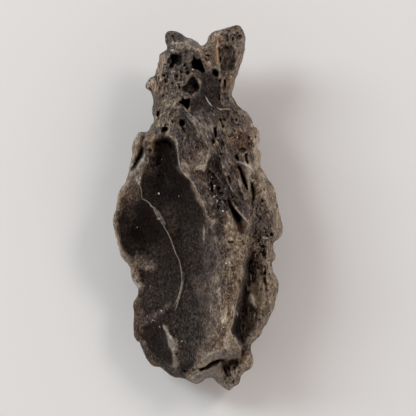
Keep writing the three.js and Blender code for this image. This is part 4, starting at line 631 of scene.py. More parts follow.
sunk = np.zeros(top.shape)
for depth, wall, mouth in HOLES:
    inside = -outside_of(curve(mouth, closed=True), 1.6) + ragged
    sunk = np.maximum(sunk, depth * ease(inside / wall))
    top = top + LIP * ease(1 - np.abs(inside + LIP_OUT) / LIP_HALF)
for x, y, radius in PITS:
    away = np.hypot(plan_x - x, plan_y - y) + ragged * 0.5
    sunk = np.maximum(sunk, PIT_DEPTH * radius * ease(1.6 * (1 - away / (1.25 * radius))))
for depth, reach, line in SLITS:
    away = distance_to(curve(line), 1) + ragged * 0.6
    sunk = np.maximum(sunk, SLIT_DEPTH * depth * ease(1.3 * (1 - away / reach)))
raised = np.zeros(top.shape)
for height, reach, line in RIBS:
    away = distance_to(curve(line), 1) + ragged * 0.4
    raised = np.maximum(raised, height * ease(1.2 * (1 - away / (1.3 * reach))))
sunk = sunk * ease(-rim / PIT_EDGE)
top = top + raised * ease(-rim / RIB_EDGE) - sunk

# ------------------------------------------------------------------------------------------
# The glass body. One solid piece of dark natural glass fills the space between the two
# membranes: lumpy and scabbed where it weathered, smooth and rippled where it split.

LUMP, LUMP_HEIGHT = 2.6, 0.55           # melt lumps: spacing and how far one swells, mm
STEEPEST_LUMP = 1.6                     # lumps stop growing on faces steeper than this secant
ROUGH_LEAST, ROUGH_BELOW = 0.15, 0.7    # strength of the lumps in the scoops and underneath
EDGE_WIDTH, RIM_WIDTH = 0.3, 0.2        # how widely the faces are rounded into each other, mm
RIM_NICKS = 0.14                        # depth of the small nicks along the rim, mm
NICK_SPACING = 0.55                     # how far apart those nicks lie, mm
RIM_GAIN = 0.1                          # what the rounding takes off the rim and is given back, mm
RIM_LUMP = 0.4                          # the lumps' share at the rim
# crusts of the weathered skin, and the walls of the froth: height, spacing, mm
SCABS, FROTH_WALLS = ((0.1, 0.95), (0.08, 0.5), (0.05, 0.29)), ((0.24, 0.8), (0.2, 0.45))
FROTH_LEVEL, FROTH_BELOW = 0.12, 0.25   # what the walls stand on, mm, and their strength below
UPPER_FROM = 0.3                        # the share of the thickness where the upper finish starts
BARE_OF_SCABS = 0.1                     # places less rough than this carry no crust

# weathered, lumpy places of the upper side: x, y, reach, strength
ROUGH = [
    (-2.5, 19, 5, 1), (-4, 13, 3, 0.8), (6, 10, 4, 0.9), (4, 5, 3.4, 0.8), (9.5, 0, 3.6, 1),
    (9, -6, 3, 1), (9, -12, 3.4, 0.9), (7, -18, 2.6, 0.7), (4.5, 21, 2.4, 0.4),
    (5, -22.5, 2.6, 0.6),
]
# frothy places, where small bubbles left a sponge: x, y, reach, strength
FROTH = [
    (-4.2, 17.6, 3, 1), (-3.4, 14.6, 2.4, 0.8), (-2.2, 19.8, 2.6, 1), (0.6, 20.8, 1.8, 0.8),
    (4.6, 23, 1.8, 0.5), (-4.8, 11.4, 2.4, 0.4), (4, 14.4, 1.6, 0.7), (5, 12.4, 2, 0.7),
    (6.8, 9.6, 2.6, 0.5), (2.4, 3, 2, 0.9), (3.2, 0.2, 1.6, 0.8), (8.4, -4.6, 2.4, 1),
    (8.4, -8, 2.2, 0.9), (9.4, -10.4, 1.8, 0.6), (9, -15, 1.8, 0.5), (9.6, 0.4, 2.6, 0.6),
    (8.8, 3.6, 1.8, 0.5), (5.2, -22.6, 1.8, 0.5), (-6, 5.6, 1.6, 0.2), (6.8, -20.6, 1.4, 0.5),
    (-1.1, -22.6, 1, 0.9), (4.2, 18.6, 1, 0.7), (2, 17.6, 1.4, 0.3),
]


def lump_field(spacing):
    """The same swells over the whole sampling grid, eased along one axis at a time."""
    starts, eased = [], []
    for axis in (zs, ys, xs):
        p = axis / spacing
        cell = np.floor(p).astype(np.int64)
        starts.append(cell)
        eased.append(ease(p - cell).astype(np.float32))
    k, j, i = (np.arange(c.min(), c.max() + 2) for c in starts)
    field = chance(i[None, None, :], j[None, :, None], k[:, None, None]).astype(np.float32)
    for axis, (cell, t) in enumerate(zip(starts, eased)):
        t = t.reshape([-1 if a == axis else 1 for a in range(3)])
        at = cell - cell.min()
        field = np.take(field, at, axis) * (1 - t) + np.take(field, at + 1, axis) * t
    return 2 * field - 1


def rounded_max(a, b, width):
    overlap = np.maximum(width - np.abs(a - b), 0)
    return np.maximum(a, b) + overlap**2 / (4 * width)


def secant(sheet):
    dy, dx = np.gradient(sheet, ys[1] - ys[0], xs[1] - xs[0])
    return np.sqrt(1 + dx**2 + dy**2)


def three(sheet):
    return sheet[None].astype(np.float32)


z = zs[:, None, None].astype(np.float32)
high = ease(((z - three(base)) / np.maximum(three(top - base), 1) - UPPER_FROM) / UPPER_FROM)
rough = ROUGH_BELOW + (three(patches(plan_x, plan_y, ROUGH, ROUGH_LEAST)) - ROUGH_BELOW) * high
froth = FROTH_BELOW + (three(patches(plan_x, plan_y, FROTH)) - FROTH_BELOW) * high
sponge = sum(tall * np.abs(lump_field(apart)) for tall, apart in FROTH_WALLS) - FROTH_LEVEL
swell = LUMP_HEIGHT * rough * (lump_field(LUMP) + 0.5 * lump_field(LUMP / 2))
crust = sum(tall * lump_field(apart) for tall, apart in SCABS)
scab = np.clip(rough - BARE_OF_SCABS, 0, 1) * crust
swell = swell + scab - froth * sponge
top_steep, base_steep = three(secant(top)), three(secant(base))
above = (z - three(top) + swell * np.minimum(top_steep, STEEPEST_LUMP)) / top_steep
below = (three(base) - z + swell * np.minimum(base_steep, STEEPEST_LUMP)) / base_steep
glass = rounded_max(above, below, EDGE_WIDTH)
wall = three(rim) - RIM_GAIN + RIM_LUMP * swell + RIM_NICKS * rough * lump_field(NICK_SPACING)
glass = rounded_max(glass, wall, np.maximum(three(read_sheet(blunt, plan_x, plan_y)), RIM_WIDTH))
glass = np.maximum(glass, -z)

# gaps that run back under an edge: radius, then points x, y, z along the gap
GAPS = [
    (0.35, [(3.6, -20.8, 6.4), (4.2, -20.7, 6.6), (4.8, -20.5, 6.8)]),
    (0.35, [(-5.4, 9.1, 9.4), (-4.7, 9.3, 9.5), (-4.1, 9.2, 9.6)]),
    (0.5, [(6.1, -9.5, 7), (5.5, -11.5, 7), (5.2, -13.5, 7), (4.8, -15.6, 6.8),
     (5.1, -17.4, 6.8)]),
    (0.45, [(6.5, -7.6, 7.6), (6.4, -8.6, 7.2)]),
]


def hollow(x, y, z, radius, soft=0.15):
    """Takes a ball out of the glass."""
    near = []
    for centre, axis in ((z, zs), (y, ys), (x, xs)):
        first, last = (int((centre + side * (radius + 1) - axis[0]) / CELL) for side in (-1, 1))
        near.append(slice(max(first, 0), last + 2))
    near = tuple(near)
    dz, dy, dx = zs[near[0]][:, None, None] - z, ys[near[1]][None, :, None] - y, xs[near[2]] - x
    glass[near] = rounded_max(glass[near], radius - np.sqrt(dx**2 + dy**2 + dz**2), soft)


for radius, route in GAPS:
    for x, y, height in curve(route, step=radius / 2):
        hollow(x, y, height, radius)


def mend_contacts(value):
    """Fills the few samples that would make the skin touch itself along an edge or at a point."""
    low, high = slice(None, -1), slice(1, None)
    while True:
        solid = value < 0
        fill = np.zeros(value.shape, bool)
        for a, b in ((0, 1), (1, 2), (0, 2)):
            def part(sa, sb):
                index = [slice(None)] * 3
                index[a], index[b] = sa, sb
                return tuple(index)
            corners = [part(low, low), part(high, low), part(low, high), part(high, high)]
            s00, s10, s01, s11 = (solid[c] for c in corners)
            fill[corners[1]] |= s00 & s11 & ~s10 & ~s01
            fill[corners[0]] |= ~s00 & ~s11 & s10 & s01
        cube = [(x, y, w) for x in (low, high) for y in (low, high) for w in (low, high)]
        inside = [solid[c] for c in cube]
        count = sum(c.astype(np.int8) for c in inside)
        for corner in range(4):
            pair = inside[corner] & inside[7 - corner]
            empty = ~inside[corner] & ~inside[7 - corner]
            fill[cube[corner ^ 1]] |= pair & (count == 2)
            fill[cube[corner]] |= empty & (count == 6)
        if not fill.any():
            return
        value[fill] = -0.01


def skin(value):
    """One vertex in each grid cube that the surface crosses, one quad across each crossed edge."""
    shape = np.array(value.shape) - 1
    total = np.zeros((shape.prod(), 3))
    count = np.zeros(shape.prod())
    crossings = []
    for axis in range(3):
        v0 = np.take(value, range(value.shape[axis] - 1), axis)
        v1 = np.take(value, range(1, value.shape[axis]), axis)
        at = np.argwhere((v0 < 0) != (v1 < 0))
        v0, v1 = v0[tuple(at.T)], v1[tuple(at.T)]
        place = at.astype(float)
        place[:, axis] += v0 / (v0 - v1)
        others = [a for a in range(3) if a != axis]
        around = []
        for da, db in ((0, 0), (1, 0), (1, 1), (0, 1)):
            cube = at.copy()
            cube[:, others[0]] -= da
            cube[:, others[1]] -= db
            flat = np.ravel_multi_index(cube.T, shape)
            around.append(flat)
            count += np.bincount(flat, minlength=len(count))
            for k in range(3):
                total[:, k] += np.bincount(flat, place[:, k], minlength=len(count))
        around = np.array(around).T
        turn = (v0 < 0) != (axis == 1)
        crossings.append(np.where(turn[:, None], around[:, ::-1], around))
    used = count > 0
    number = np.cumsum(used) - 1
    points = total[used] / count[used][:, None]
    return points, number[np.vstack(crossings)]


def largest_shell(points, quads):
    """Drops loose crumbs and sealed pockets: keeps the one shell with the most vertices."""
    label = np.arange(len(points))
    while True:
        least = label[quads].min(axis=1)
        before = label.copy()
        np.minimum.at(label, quads.ravel(), np.repeat(least, 4))
        label = label[label]
        if (label == before).all():
            break
    keep = label == np.bincount(label).argmax()
    return points[keep], (np.cumsum(keep) - 1)[quads[keep[quads[:, 0]]]]


def make_object(name, points, faces):
    mesh = bpy.data.meshes.new(name)
    mesh.from_pydata((points * MM).tolist(), [], faces.tolist())
    obj = bpy.data.objects.new(name, mesh)
    bpy.context.collection.objects.link(obj)
    return obj


mend_contacts(glass)
points, quads = largest_shell(*skin(glass))
points = np.column_stack([axis[0] + points[:, k] * (axis[1] - axis[0])
                          for k, axis in ((2, xs), (1, ys), (0, zs))])
body = make_object("darwin_glass_skin", points, quads)

# ------------------------------------------------------------------------------------------
# Small burst bubbles. The melt was full of gas; where weather and breakage opened the small
# bubbles they are round-bottomed, often flattened pits. They are cut out of the frothy places.

# rounds of bubbles, large then small: spacing, least and greatest radius in mm, density, seed
BUBBLES = [(0.85, 0.18, 0.36, 0.4, 4), (0.5, 0.08, 0.18, 0.7, 9)]
DENSEST = 4e7                            # bubbles for each square metre, if their spacing let them
FLATTEST, LONGEST = (0.7,) * 3, (1.5,) * 3       # how much a bubble is squashed or drawn out
WHOLE_TURN = (6.28,) * 3
MOST_TRIANGLES = 194000


def add(tree, kind, settings=None, **links):
    """Adds a node with its settings. A link name of i and a number means the input's place."""
    node = tree.nodes.new(kind)
    for key, value in (settings or {}).items():
        setattr(node, key, value)
    for key, value in links.items():
        place = int(key[1:]) if key[0] == "i" and key[1:].isdigit() else key
        socket = node.inputs[place]
        if isinstance(value, bpy.types.NodeSocket):
            tree.links.new(value, socket)
        else:
            socket.default_value = value
    return node


def bubble_tree():
    tree = bpy.data.node_groups.new("burst_bubbles", "GeometryNodeTree")
    face = tree.interface
    face.new_socket("Geometry", in_out="INPUT", socket_type="NodeSocketGeometry")
    for label in ("Spacing", "Smallest", "Largest"):
        face.new_socket(label, in_out="INPUT", socket_type="NodeSocketFloat")
    face.new_socket("Seed", in_out="INPUT", socket_type="NodeSocketInt")
    face.new_socket("Material", in_out="INPUT", socket_type="NodeSocketMaterial")
    face.new_socket("Geometry", in_out="OUTPUT", socket_type="NodeSocketGeometry")
    given = add(tree, "NodeGroupInput").outputs
    frothy = add(tree, "GeometryNodeInputNamedAttribute", {"data_type": "FLOAT"}, Name="frothy")
    spots = add(tree, "GeometryNodeDistributePointsOnFaces", {"distribute_method": "POISSON"},
                Mesh=given["Geometry"], Seed=given["Seed"], **{
                    "Distance Min": given["Spacing"], "Density Max": DENSEST,
                    "Density Factor": frothy.outputs["Attribute"]})
    size = add(tree, "FunctionNodeRandomValue", {"data_type": "FLOAT"}, Seed=given["Seed"],
               i2=given["Smallest"], i3=given["Largest"])
    squash = add(tree, "FunctionNodeRandomValue", {"data_type": "FLOAT_VECTOR"},
                 Seed=given["Seed"], i0=FLATTEST, i1=LONGEST)
    scale = add(tree, "ShaderNodeVectorMath", {"operation": "SCALE"}, i0=squash.outputs[0],
                Scale=size.outputs[1])
    turn = add(tree, "FunctionNodeRandomValue", {"data_type": "FLOAT_VECTOR"}, Seed=given["Seed"],
               i0=(0, 0, 0), i1=WHOLE_TURN)
    ball = add(tree, "GeometryNodeMeshIcoSphere", Radius=1.0, Subdivisions=2)
    marked = add(tree, "GeometryNodeStoreNamedAttribute",
                 {"data_type": "FLOAT", "domain": "POINT"},
                 Geometry=ball.outputs["Mesh"], Name="bubble", Value=1.0)
    balls = add(tree, "GeometryNodeInstanceOnPoints", Points=spots.outputs["Points"],
                Instance=marked.outputs[0], Rotation=turn.outputs[0], Scale=scale.outputs[0])
    pitted = add(tree, "GeometryNodeMeshBoolean",
                 {"operation": "DIFFERENCE", "solver": "MANIFOLD"},
                 **{"Mesh 1": given["Geometry"], "Mesh 2": balls.outputs["Instances"]})
    whole = add(tree, "GeometryNodeRealizeInstances", Geometry=pitted.outputs["Mesh"])
    dressed = add(tree, "GeometryNodeSetMaterial", Geometry=whole.outputs[0],
                  Material=given["Material"])
    add(tree, "NodeGroupOutput", Geometry=dressed.outputs[0])
    return tree


def keep_evaluated(obj):
    """Makes what the object's modifiers give its own plain mesh, and removes them."""
    bpy.context.view_layer.update()
    evaluated = obj.evaluated_get(bpy.context.evaluated_depsgraph_get())
    mesh = bpy.data.meshes.new_from_object(evaluated)
    obj.modifiers.clear()
    obj.data = mesh


def apply_nodes(obj, tree, **values):
    modifier = obj.modifiers.new("nodes", "NODES")
    modifier.node_group = tree
    sockets = {s.name: s.identifier for s in tree.interface.items_tree if s.in_out == "INPUT"}
    for label, value in values.items():
        modifier[sockets[label]] = value
    keep_evaluated(obj)


def vertices_of(obj):
    flat = np.empty(3 * len(obj.data.vertices))
    obj.data.vertices.foreach_get("co", flat)
    return flat.reshape(-1, 3) / MM


def spread(obj, name, values):
    """Keeps one number for each vertex under a name that nodes can read."""
    if name in obj.data.attributes:
        obj.data.attributes.remove(obj.data.attributes[name])
    attribute = obj.data.attributes.new(name, "FLOAT", "POINT")
    attribute.data.foreach_set("value", np.asarray(values, np.float32))


glass_mat = bpy.data.materials.new("natural_impact_glass")
bubbles = bubble_tree()
for spacing, smallest, largest, strength, seed in BUBBLES:
    x, y, z = vertices_of(body).T
    spread(body, "frothy", strength * patches(x, y, FROTH))
    if "bubble" not in body.data.attributes:
        spread(body, "bubble", 0 * x)
    apply_nodes(body, bubbles, Spacing=spacing * MM, Smallest=smallest * MM, Largest=largest * MM,
                Seed=seed, Material=glass_mat)

triangles = sum(len(p.vertices) - 2 for p in body.data.polygons)
if triangles > MOST_TRIANGLES:
    thin = body.modifiers.new("thin", "DECIMATE")
    thin.ratio = MOST_TRIANGLES / triangles
    keep_evaluated(body)
    # thinning leaves a few triangles that hang on by one edge, a pinched edge and bare edges
    shell = bmesh.new()
    shell.from_mesh(body.data)
    stray = {edge.link_faces[0] for edge in shell.edges if len(edge.link_faces) == 1}
    bmesh.ops.delete(shell, geom=list(stray), context="FACES")
    bmesh.ops.collapse(shell, edges=[edge for edge in shell.edges if len(edge.link_faces) > 2])
    for parts, context in ((shell.edges, "EDGES"), (shell.verts, "VERTS")):
        bare = [part for part in parts if not part.link_faces]
        bmesh.ops.delete(shell, geom=bare, context=context)
    shell.to_mesh(body.data)
    shell.free()

# ------------------------------------------------------------------------------------------
# The finish of the glass. Where it split it is fresh: black-brown, satin, finely grained.
# Where the ground etched it for ages it carries a frosted buff skin, worn pale on its crests;
# painted highlights lie along the lit ridges, and painted shade in the hollows.

# Finishes are laid over each other in this order: tone from black to pale, warmth from grey to
# buff, gloss from frosted to satin, softness of the border in mm, outline of the place.
FINISHES = [
    # weathered ground
    (0.39, 0.75, 0.1, 1.2, [(-6.5, 18), (-4.6, 21.4), (-3.4, 19.6), (-3.9, 17), (-4, 14),
     (-3.2, 12.4), (-3, 10), (-4, 9.4), (-7, 9.4), (-6.4, 12), (-6.2, 15), (-7.2, 16.4)]),
    (0.31, 0.4, 0.15, 1, [(-4.4, 21), (-1.5, 21.6), (-0.4, 19.4), (-1.6, 17), (-1.9, 14.9),
     (-3.4, 15.4), (-4.4, 17.6)]),
    # painted shade: darker round both eyes of the head, under the overhanging brow
    (0.26, 0.4, 0.5, 0.5, [(-3.9, 20.9), (-3, 21.3), (-1, 21.6), (0.3, 20.9), (1.2, 18.8),
     (0.4, 18.3), (-0.8, 18.8), (-2, 19), (-3.5, 18.7), (-3.9, 19.6)]),
    (0.22, 0.8, 0.2, 0.6, [(-5.9, 16.4), (-4.2, 17), (-4.2, 15.4), (-4.7, 13.8), (-5.4, 12.8),
     (-6.2, 13)]),
    (0.44, 0.75, 0.1, 0.7, [(1, 22.2), (2.2, 24.2), (5.4, 25.2), (6.8, 23.8), (6.4, 20),
     (5.4, 17.8), (4.6, 18.6), (5, 22.2), (3.2, 22.4), (2.9, 19.8), (1.6, 18.6), (0.6, 20.4)]),
    (0.48, 0.8, 0.2, 0.6, [(3.7, 18.6), (5.2, 18.4), (4.9, 15.4), (3.7, 15.4)]),
    (0.36, 0.7, 0.2, 0.3, [(1.5, 22), (2.2, 21.6), (2.3, 20.4), (2.3, 19.2), (1.6, 19.2),
     (1.7, 20.8)]),
    # painted shadow: a dark patch at the foot of the horn
    (0.1, 0.7, 0.3, 0.25, [(-3.9, 22.2), (-3.3, 22), (-3.1, 21.5), (-3.9, 21.4)]),
    (0.25, 0.6, 0.2, 0.3, [(-6.2, 17.6), (-5.4, 17.6), (-5.3, 16.4), (-5.9, 16.4)]),
    (0.2, 0.5, 0.4, 0.4, [(-4.2, 16.9), (-3.2, 17), (-3.1, 15.7), (-4, 15.6)]),
    (0.3, 0.5, 0.4, 0.4, [(1, 18.9), (2.6, 18.9), (2.8, 17.9), (1.2, 17.9)]),
    (0.26, 0.5, 0.2, 0.5, [(3.4, 24.4), (5.4, 25), (6.2, 24), (5.4, 22.9), (3.8, 22.9)]),
    (0.43, 0.7, 0.1, 0.7, [(-4.4, 15.4), (-2.8, 15.6), (-2.6, 14.4), (-3.6, 13.6), (-4.8, 14.2)]),
    (0.46, 0.7, 0.1, 0.5, [(-6.9, 17.6), (-5.9, 17.6), (-5.6, 16.2), (-6.7, 15.9)]),
    (0.34, 0.95, 0.2, 0.5, [(-6.8, 10.8), (-5.4, 11), (-5, 10), (-5.2, 9.3), (-6.8, 9.3)]),
    (0.12, 0.8, 0.2, 0.4, [(-5.8, 10.8), (-4.6, 10.8), (-4.4, 9.9), (-5.6, 9.8)]),
    (0.31, 0.8, 0.2, 0.5, [(-6.3, 12.9), (-5.2, 12.9), (-5.2, 11.3), (-6.2, 11.2)]),
    (0.2, 0.7, 0.3, 0.4, [(-3.4, 13.4), (-2.3, 13.4), (-2.2, 12.1), (-3.2, 12.1)]),
    (0.41, 0.75, 0.1, 1, [(3.4, 12.4), (5, 14.2), (7.4, 12.6), (8.8, 10.2), (8.4, 7.8), (5.6, 7.4),
     (4, 9.4)]),
    (0.74, 0.7, 0.2, 0.6, [(7.2, 11.4), (8.8, 10.6), (9, 5.2), (7.9, 5.4), (7.8, 8)]),
    (0.24, 0.7, 0.2, 0.5, [(3.4, 16.4), (4.3, 16.4), (4.4, 14.9), (5.3, 13.6), (5, 12.4),
     (4.2, 13), (3.4, 14)]),
    (0.26, 0.7, 0.2, 0.5, [(3.6, 12.2), (5.2, 12.6), (6.6, 12.9), (6.6, 11.4), (5.4, 11),
     (4, 10.6)]),
    (0.39, 0.55, 0.15, 0.8, [(4.2, 8), (7.6, 6), (8, 1.6), (7.2, -1.8), (5, 0.4), (3.6, 4)]),
    (0.49, 0.75, 0.05, 0.7, [(7.8, 5.2), (9.4, 5.2), (11.4, 1.6), (12, -3), (10.4, -5.2),
     (9.8, -2), (8.6, -1.6), (8, 1)]),
    (0.32, 0.85, 0.1, 0.7, [(7, -1.6), (8.4, -1.2), (9.8, -1.6), (10.2, -4.8), (9.4, -9.4),
     (8, -9.6), (6.8, -6.6)]),
    (0.48, 0.7, 0.1, 0.5, [(9.5, -4.8), (10.8, -5), (11.4, -10.8), (10.6, -14.6), (8.4, -18),
     (7.2, -18.2), (8.6, -15.6), (9.3, -12), (9.7, -9)]),
    # the fresh fracture faces
    (0.05, 0.4, 0.95, 0.5, [(-6.9, 8.8), (-5.6, 9.2), (-4, 9.1), (-3.3, 8.2), (-2.9, 6.8),
     (-2.7, 5.4), (-2.3, 4.8), (-1.5, 4.1), (-0.8, 3), (-0.3, 1.6), (0.3, 0.4), (0.9, -0.8),
     (0.6, -2.4), (0.6, -5), (0.7, -9), (1, -12), (1.4, -14), (1, -17), (0, -19.6), (-0.4, -21.4),
     (-1.6, -22.8), (-3.4, -22.6), (-5, -21.2), (-6.4, -20.4), (-7.2, -18.8), (-8.2, -16.8),
     (-8.2, -13.2), (-7.6, -11.8), (-7.3, -10.4), (-7.9, -9), (-8.6, -7.6), (-10, -6), (-10.7, -4),
     (-10.9, -2), (-9.8, 0.2), (-8.2, 1), (-7.9, 3), (-7.3, 4.8), (-7, 6.8)]),
    # painted shade: the cave at the head of the long scoop, black where its walls turn from the
    # light
    (0, 0.3, 1, 1.6, [(-7, 8.8), (-4, 9.4), (-2.6, 8), (-2.4, 5), (-1.4, 3.4), (-1.6, 1.6),
     (-3.2, 0.6), (-5.4, 2.4), (-6.2, 4), (-5.6, 6)]),
    (0, 0.3, 1, 1.6, [(-9, -0.4), (-7, 0.4), (-5.4, -1.6), (-5, -4), (-7, -5), (-9.6, -3.6)]),
    (0.1, 0.22, 0.8, 3, [(-3, -4), (-0.4, -2), (0.6, -6), (0.6, -10), (1.4, -14), (0.6, -19),
     (-1, -21), (-2.8, -17), (-2.6, -13), (-2, -9)]),
    (0.09, 0.3, 0.85, 1.6, [(0.1, -1), (1.6, -1.8), (2, -5), (1.6, -10), (1.6, -14), (1, -18),
     (0.2, -19), (0, -14), (-0.2, -9), (-0.2, -5)]),
    (0.06, 0.5, 0.9, 2, [(-6, -5), (-3.6, -6), (-3.2, -10), (-4, -13), (-7, -13), (-7.4, -10),
     (-8, -7.6)]),
    (0.2, 1, 0.6, 0.8, [(-10.6, 0.4), (-9.8, 2.6), (-8.6, 3.6), (-8, 2.4), (-8.2, 0.8),
     (-9.6, -0.2)]),
    (0.1, 0.75, 0.8, 1.2, [(-10.6, -1), (-9.4, 0.2), (-8.4, -0.6), (-8.8, -2.4), (-10.4, -3.4)]),
    (0.08, 1, 0.85, 1, [(-8, -11.6), (-6, -10.8), (-5.6, -12.6), (-6.4, -14.4), (-8.4, -14.6)]),
    (0.32, 0.65, 0.35, 0.6, [(-8.8, -6.8), (-7.6, -6.6), (-5.9, -7.6), (-5.8, -8.6), (-7.4, -8.7),
     (-8.9, -9)]),
    (0.21, 1, 0.6, 0.8, [(-9, -12.9), (-8.2, -12.6), (-7.4, -14), (-7.6, -17), (-9, -18)]),
    (0.15, 1, 0.5, 0.9, [(-8.4, -18), (-7.2, -18.6), (-6.2, -20), (-4.6, -21.2), (-2.8, -22.2),
     (-1.6, -23.4), (-4, -23.8), (-8, -21.4)]),
    # painted shade: black on the shaded left side of the pale crest
    (0, 0.5, 0.7, 0.4, [(-5.2, -16.2), (-4.8, -16.8), (-4.5, -18), (-4.1, -19.4), (-4.6, -19.2),
     (-5, -17.8)]),
    (0.2, 0.7, 0.4, 0.4, [(-7.4, -15.8), (-6, -15.6), (-4.4, -14.2), (-3.6, -13.6), (-4, -13.2),
     (-5.2, -14), (-6.6, -14.8)]),
    (0.12, 0.35, 0.6, 1.5, [(-3.4, -14), (-1, -13), (0.8, -14), (0.4, -19), (-1, -21), (-3, -21)]),
    (0.04, 0.5, 0.7, 0.8, [(-2.6, -14.4), (-1.2, -14), (-1.2, -16.4), (-2.4, -16.6)]),
    (0.16, 0.4, 0.8, 1.2, [(-4.6, 0.2), (-3, -0.6), (-2.6, -3.4), (-3.4, -4), (-4.2, -2.4),
     (-5, -1)]),
    (0.23, 0.15, 0.7, 1.2, [(0.9, -2.4), (2.1, -2.6), (2.6, -5), (2.6, -9), (1.6, -10.5), (1, -13),
     (0.6, -9), (0.6, -5)]),
    (0.25, 0.4, 0.7, 0.8, [(-0.8, -9.4), (0.8, -9.6), (2, -12), (1.8, -15.6), (0.6, -17),
     (0.4, -13), (-0.8, -11)]),
    (0.2, 0.4, 0.7, 0.6, [(-2.3, -10.8), (-1.3, -10.8), (-1.4, -12.4), (-2.2, -12.4)]),
    (0.16, 0.4, 0.7, 0.5, [(2.3, -2), (3.6, -2.2), (3.8, -4.4), (2.8, -5)]),
    (0.1, 1, 0.6, 0.8, [(-7.2, 9), (-5.6, 9), (-5.3, 7.4), (-6, 6.4), (-5.4, 5), (-7, 4.6),
     (-7.2, 7.2)]),
    # saddle, slope and hollows of the head and the middle
    (0.06, 0.6, 0.8, 0.5, [(-0.6, 15.1), (0.3, 15.6), (0.5, 18.4), (1.2, 18.3), (2, 18),
     (3.1, 17.2), (3.3, 16), (2.9, 14.9), (3.4, 13.9), (2.6, 13.1), (1.2, 13.4), (0, 13.1),
     (-0.9, 13), (-0.9, 14.6)]),
    (0.13, 0.6, 0.7, 0.9, [(0.7, 17.8), (2.2, 17.8), (2.8, 16.4), (0.9, 16.2)]),
    (0.02, 0.4, 0.6, 0.5, [(1, 14), (2, 14.2), (2.8, 13.4), (2, 12.8), (1, 12.9)]),
    (0.2, 0.1, 0.5, 0.6, [(-0.8, 12.6), (2, 13), (2.6, 12), (2.8, 9.8), (2.2, 8.4), (1.5, 8.8),
     (0.4, 10.8)]),
    (0.22, 0.5, 0.3, 0.5, [(2.6, 10.2), (3.5, 10.4), (4.3, 9), (5, 7.7), (4.4, 7.2), (2.2, 7.3),
     (2.2, 8.2), (3, 8.6)]),
    (0.42, 0.8, 0.2, 0.4, [(7, 10.8), (7.9, 10.8), (8.1, 9.8), (7.4, 9.4)]),
    (0.23, 0.6, 0.2, 0.3, [(4.5, 7.1), (6.4, 7.2), (7.7, 7), (7.8, 6.2), (7.2, 6.1), (6, 6),
     (4.7, 5.9)]),
    (0.6, 0.7, 0.2, 0.3, [(8, 7.9), (8.8, 7.8), (8.9, 6), (8.1, 6.2)]),
    (0.24, 0.7, 0.5, 0.4, [(2.1, 13.2), (4.3, 13.1), (4.4, 12.3), (2.6, 12)]),
    (0.19, 0.8, 0.4, 0.7, [(-1.9, 11), (-0.8, 10.6), (1, 8.6), (0.8, 7.6), (-0.6, 7.2),
     (-2.2, 6.6), (-2.6, 8.6)]),
    (0.19, 0.9, 0.4, 0.6, [(-3.6, 9.9), (-3.3, 11.2), (-2.6, 12), (-1.6, 10.8), (-1.2, 9),
     (-1.6, 7.4), (-2.5, 7), (-2.7, 8.6), (-3, 9.6)]),
    (0.14, 0.5, 0.4, 0.6, [(4.4, 6), (5.4, 5.6), (5.6, 3.6), (6.4, 1), (6.8, -1.2), (5.6, -0.2),
     (4.9, 1.4), (4, 3.6)]),
    (0.03, 0.5, 0.4, 0.4, [(-1.9, 14.2), (-1.3, 13), (-0.7, 11.9), (-0.3, 10.6), (0.3, 9.6),
     (1, 8.6), (0.2, 8.4), (-0.8, 9.2), (-1.4, 10.6), (-2, 12.2), (-2.4, 13.4)]),
    (0.05, 0.8, 0.4, 0.4, [(-2.6, 9.9), (-1.7, 9.8), (-1.3, 8.6), (-1.8, 7.9), (-2.4, 8.6)]),
    (0.42, 0.2, 0.4, 0.3, [(-0.3, 11.3), (0.4, 11.4), (2.4, 11), (2.3, 10.4), (0.6, 10.4),
     (0, 10.2)]),
    (0.4, 0.6, 0.4, 0.3, [(-2, 5), (-1, 4.8), (0.9, 4.9), (1.2, 5.9), (1.5, 7.4), (0.6, 7.2),
     (0, 6.9), (-1.2, 6.4), (-2.2, 6.4)]),
    (0.24, 0.9, 0.3, 0.4, [(-1.8, 6.2), (-1.3, 7.4), (0.2, 7.6), (-0.1, 6.6), (-1, 5.9)]),
    (0.72, 0.5, 0.4, 0.3, [(-0.2, 4.8), (0.9, 4.8), (1.3, 5.9), (0.4, 5.9)]),
    (0.23, 0.3, 0.5, 0.4, [(-0.9, 4), (0.2, 4), (1.3, 2.2), (2.2, 1), (3.6, -0.6), (3.6, -1.6),
     (1.6, -1), (0.6, 1.4)]),
    (0.24, 1, 0.4, 0.3, [(-0.6, 4.9), (0.7, 4.8), (1.3, 3.6), (0.6, 3.8), (0, 4.1)]),
    (0.11, 0.35, 0.5, 0.5, [(1.9, 7), (2.8, 7.3), (3.3, 6.2), (3.6, 4.6), (4.6, 3), (5, 1.2),
     (4.4, 0.8), (3.4, 0.6), (2.8, -0.4), (2, 1), (1.6, 2.4), (1.3, 4), (1.2, 5.4)]),
    (0.36, 0.2, 0.4, 0.4, [(3.2, 8.2), (4.2, 7.6), (4.8, 5.6), (4.2, 5), (3.6, 5.4), (3.4, 6.6)]),
    (0.08, 0.6, 0.5, 0.2, [(3.6, 1), (4.4, 0.4), (5.2, -0.2), (6, -1.4), (5.9, -2.1), (5.3, -2.2),
     (4.9, -1.6), (4.3, -0.4)]),
    (0.6, 1, 0.5, 0.4, [(5.1, -1.9), (6.4, -1.9), (6.6, -2.8), (6.2, -3.6), (5.5, -3.3)]),
    (0.34, 0.6, 0.2, 0.4, [(6, 3.2), (7, 3.2), (7.2, 1.8), (6.2, 1.8)]),
    # painted light: lighter beside the crevices, making up for the shade of the relief there
    (0.68, 0.6, 0.3, 0.4, [(6.4, 6), (7.4, 5.9), (7.5, 4.9), (7.4, 3), (7.1, 2.2), (6.8, 3.4)]),
    # painted shade: darker inside the cup
    (0.1, 0.6, 0.6, 0.2, [(-2, 16.3), (-1.5, 16.9), (-1.1, 17.6), (-0.6, 17.9), (0, 17.6),
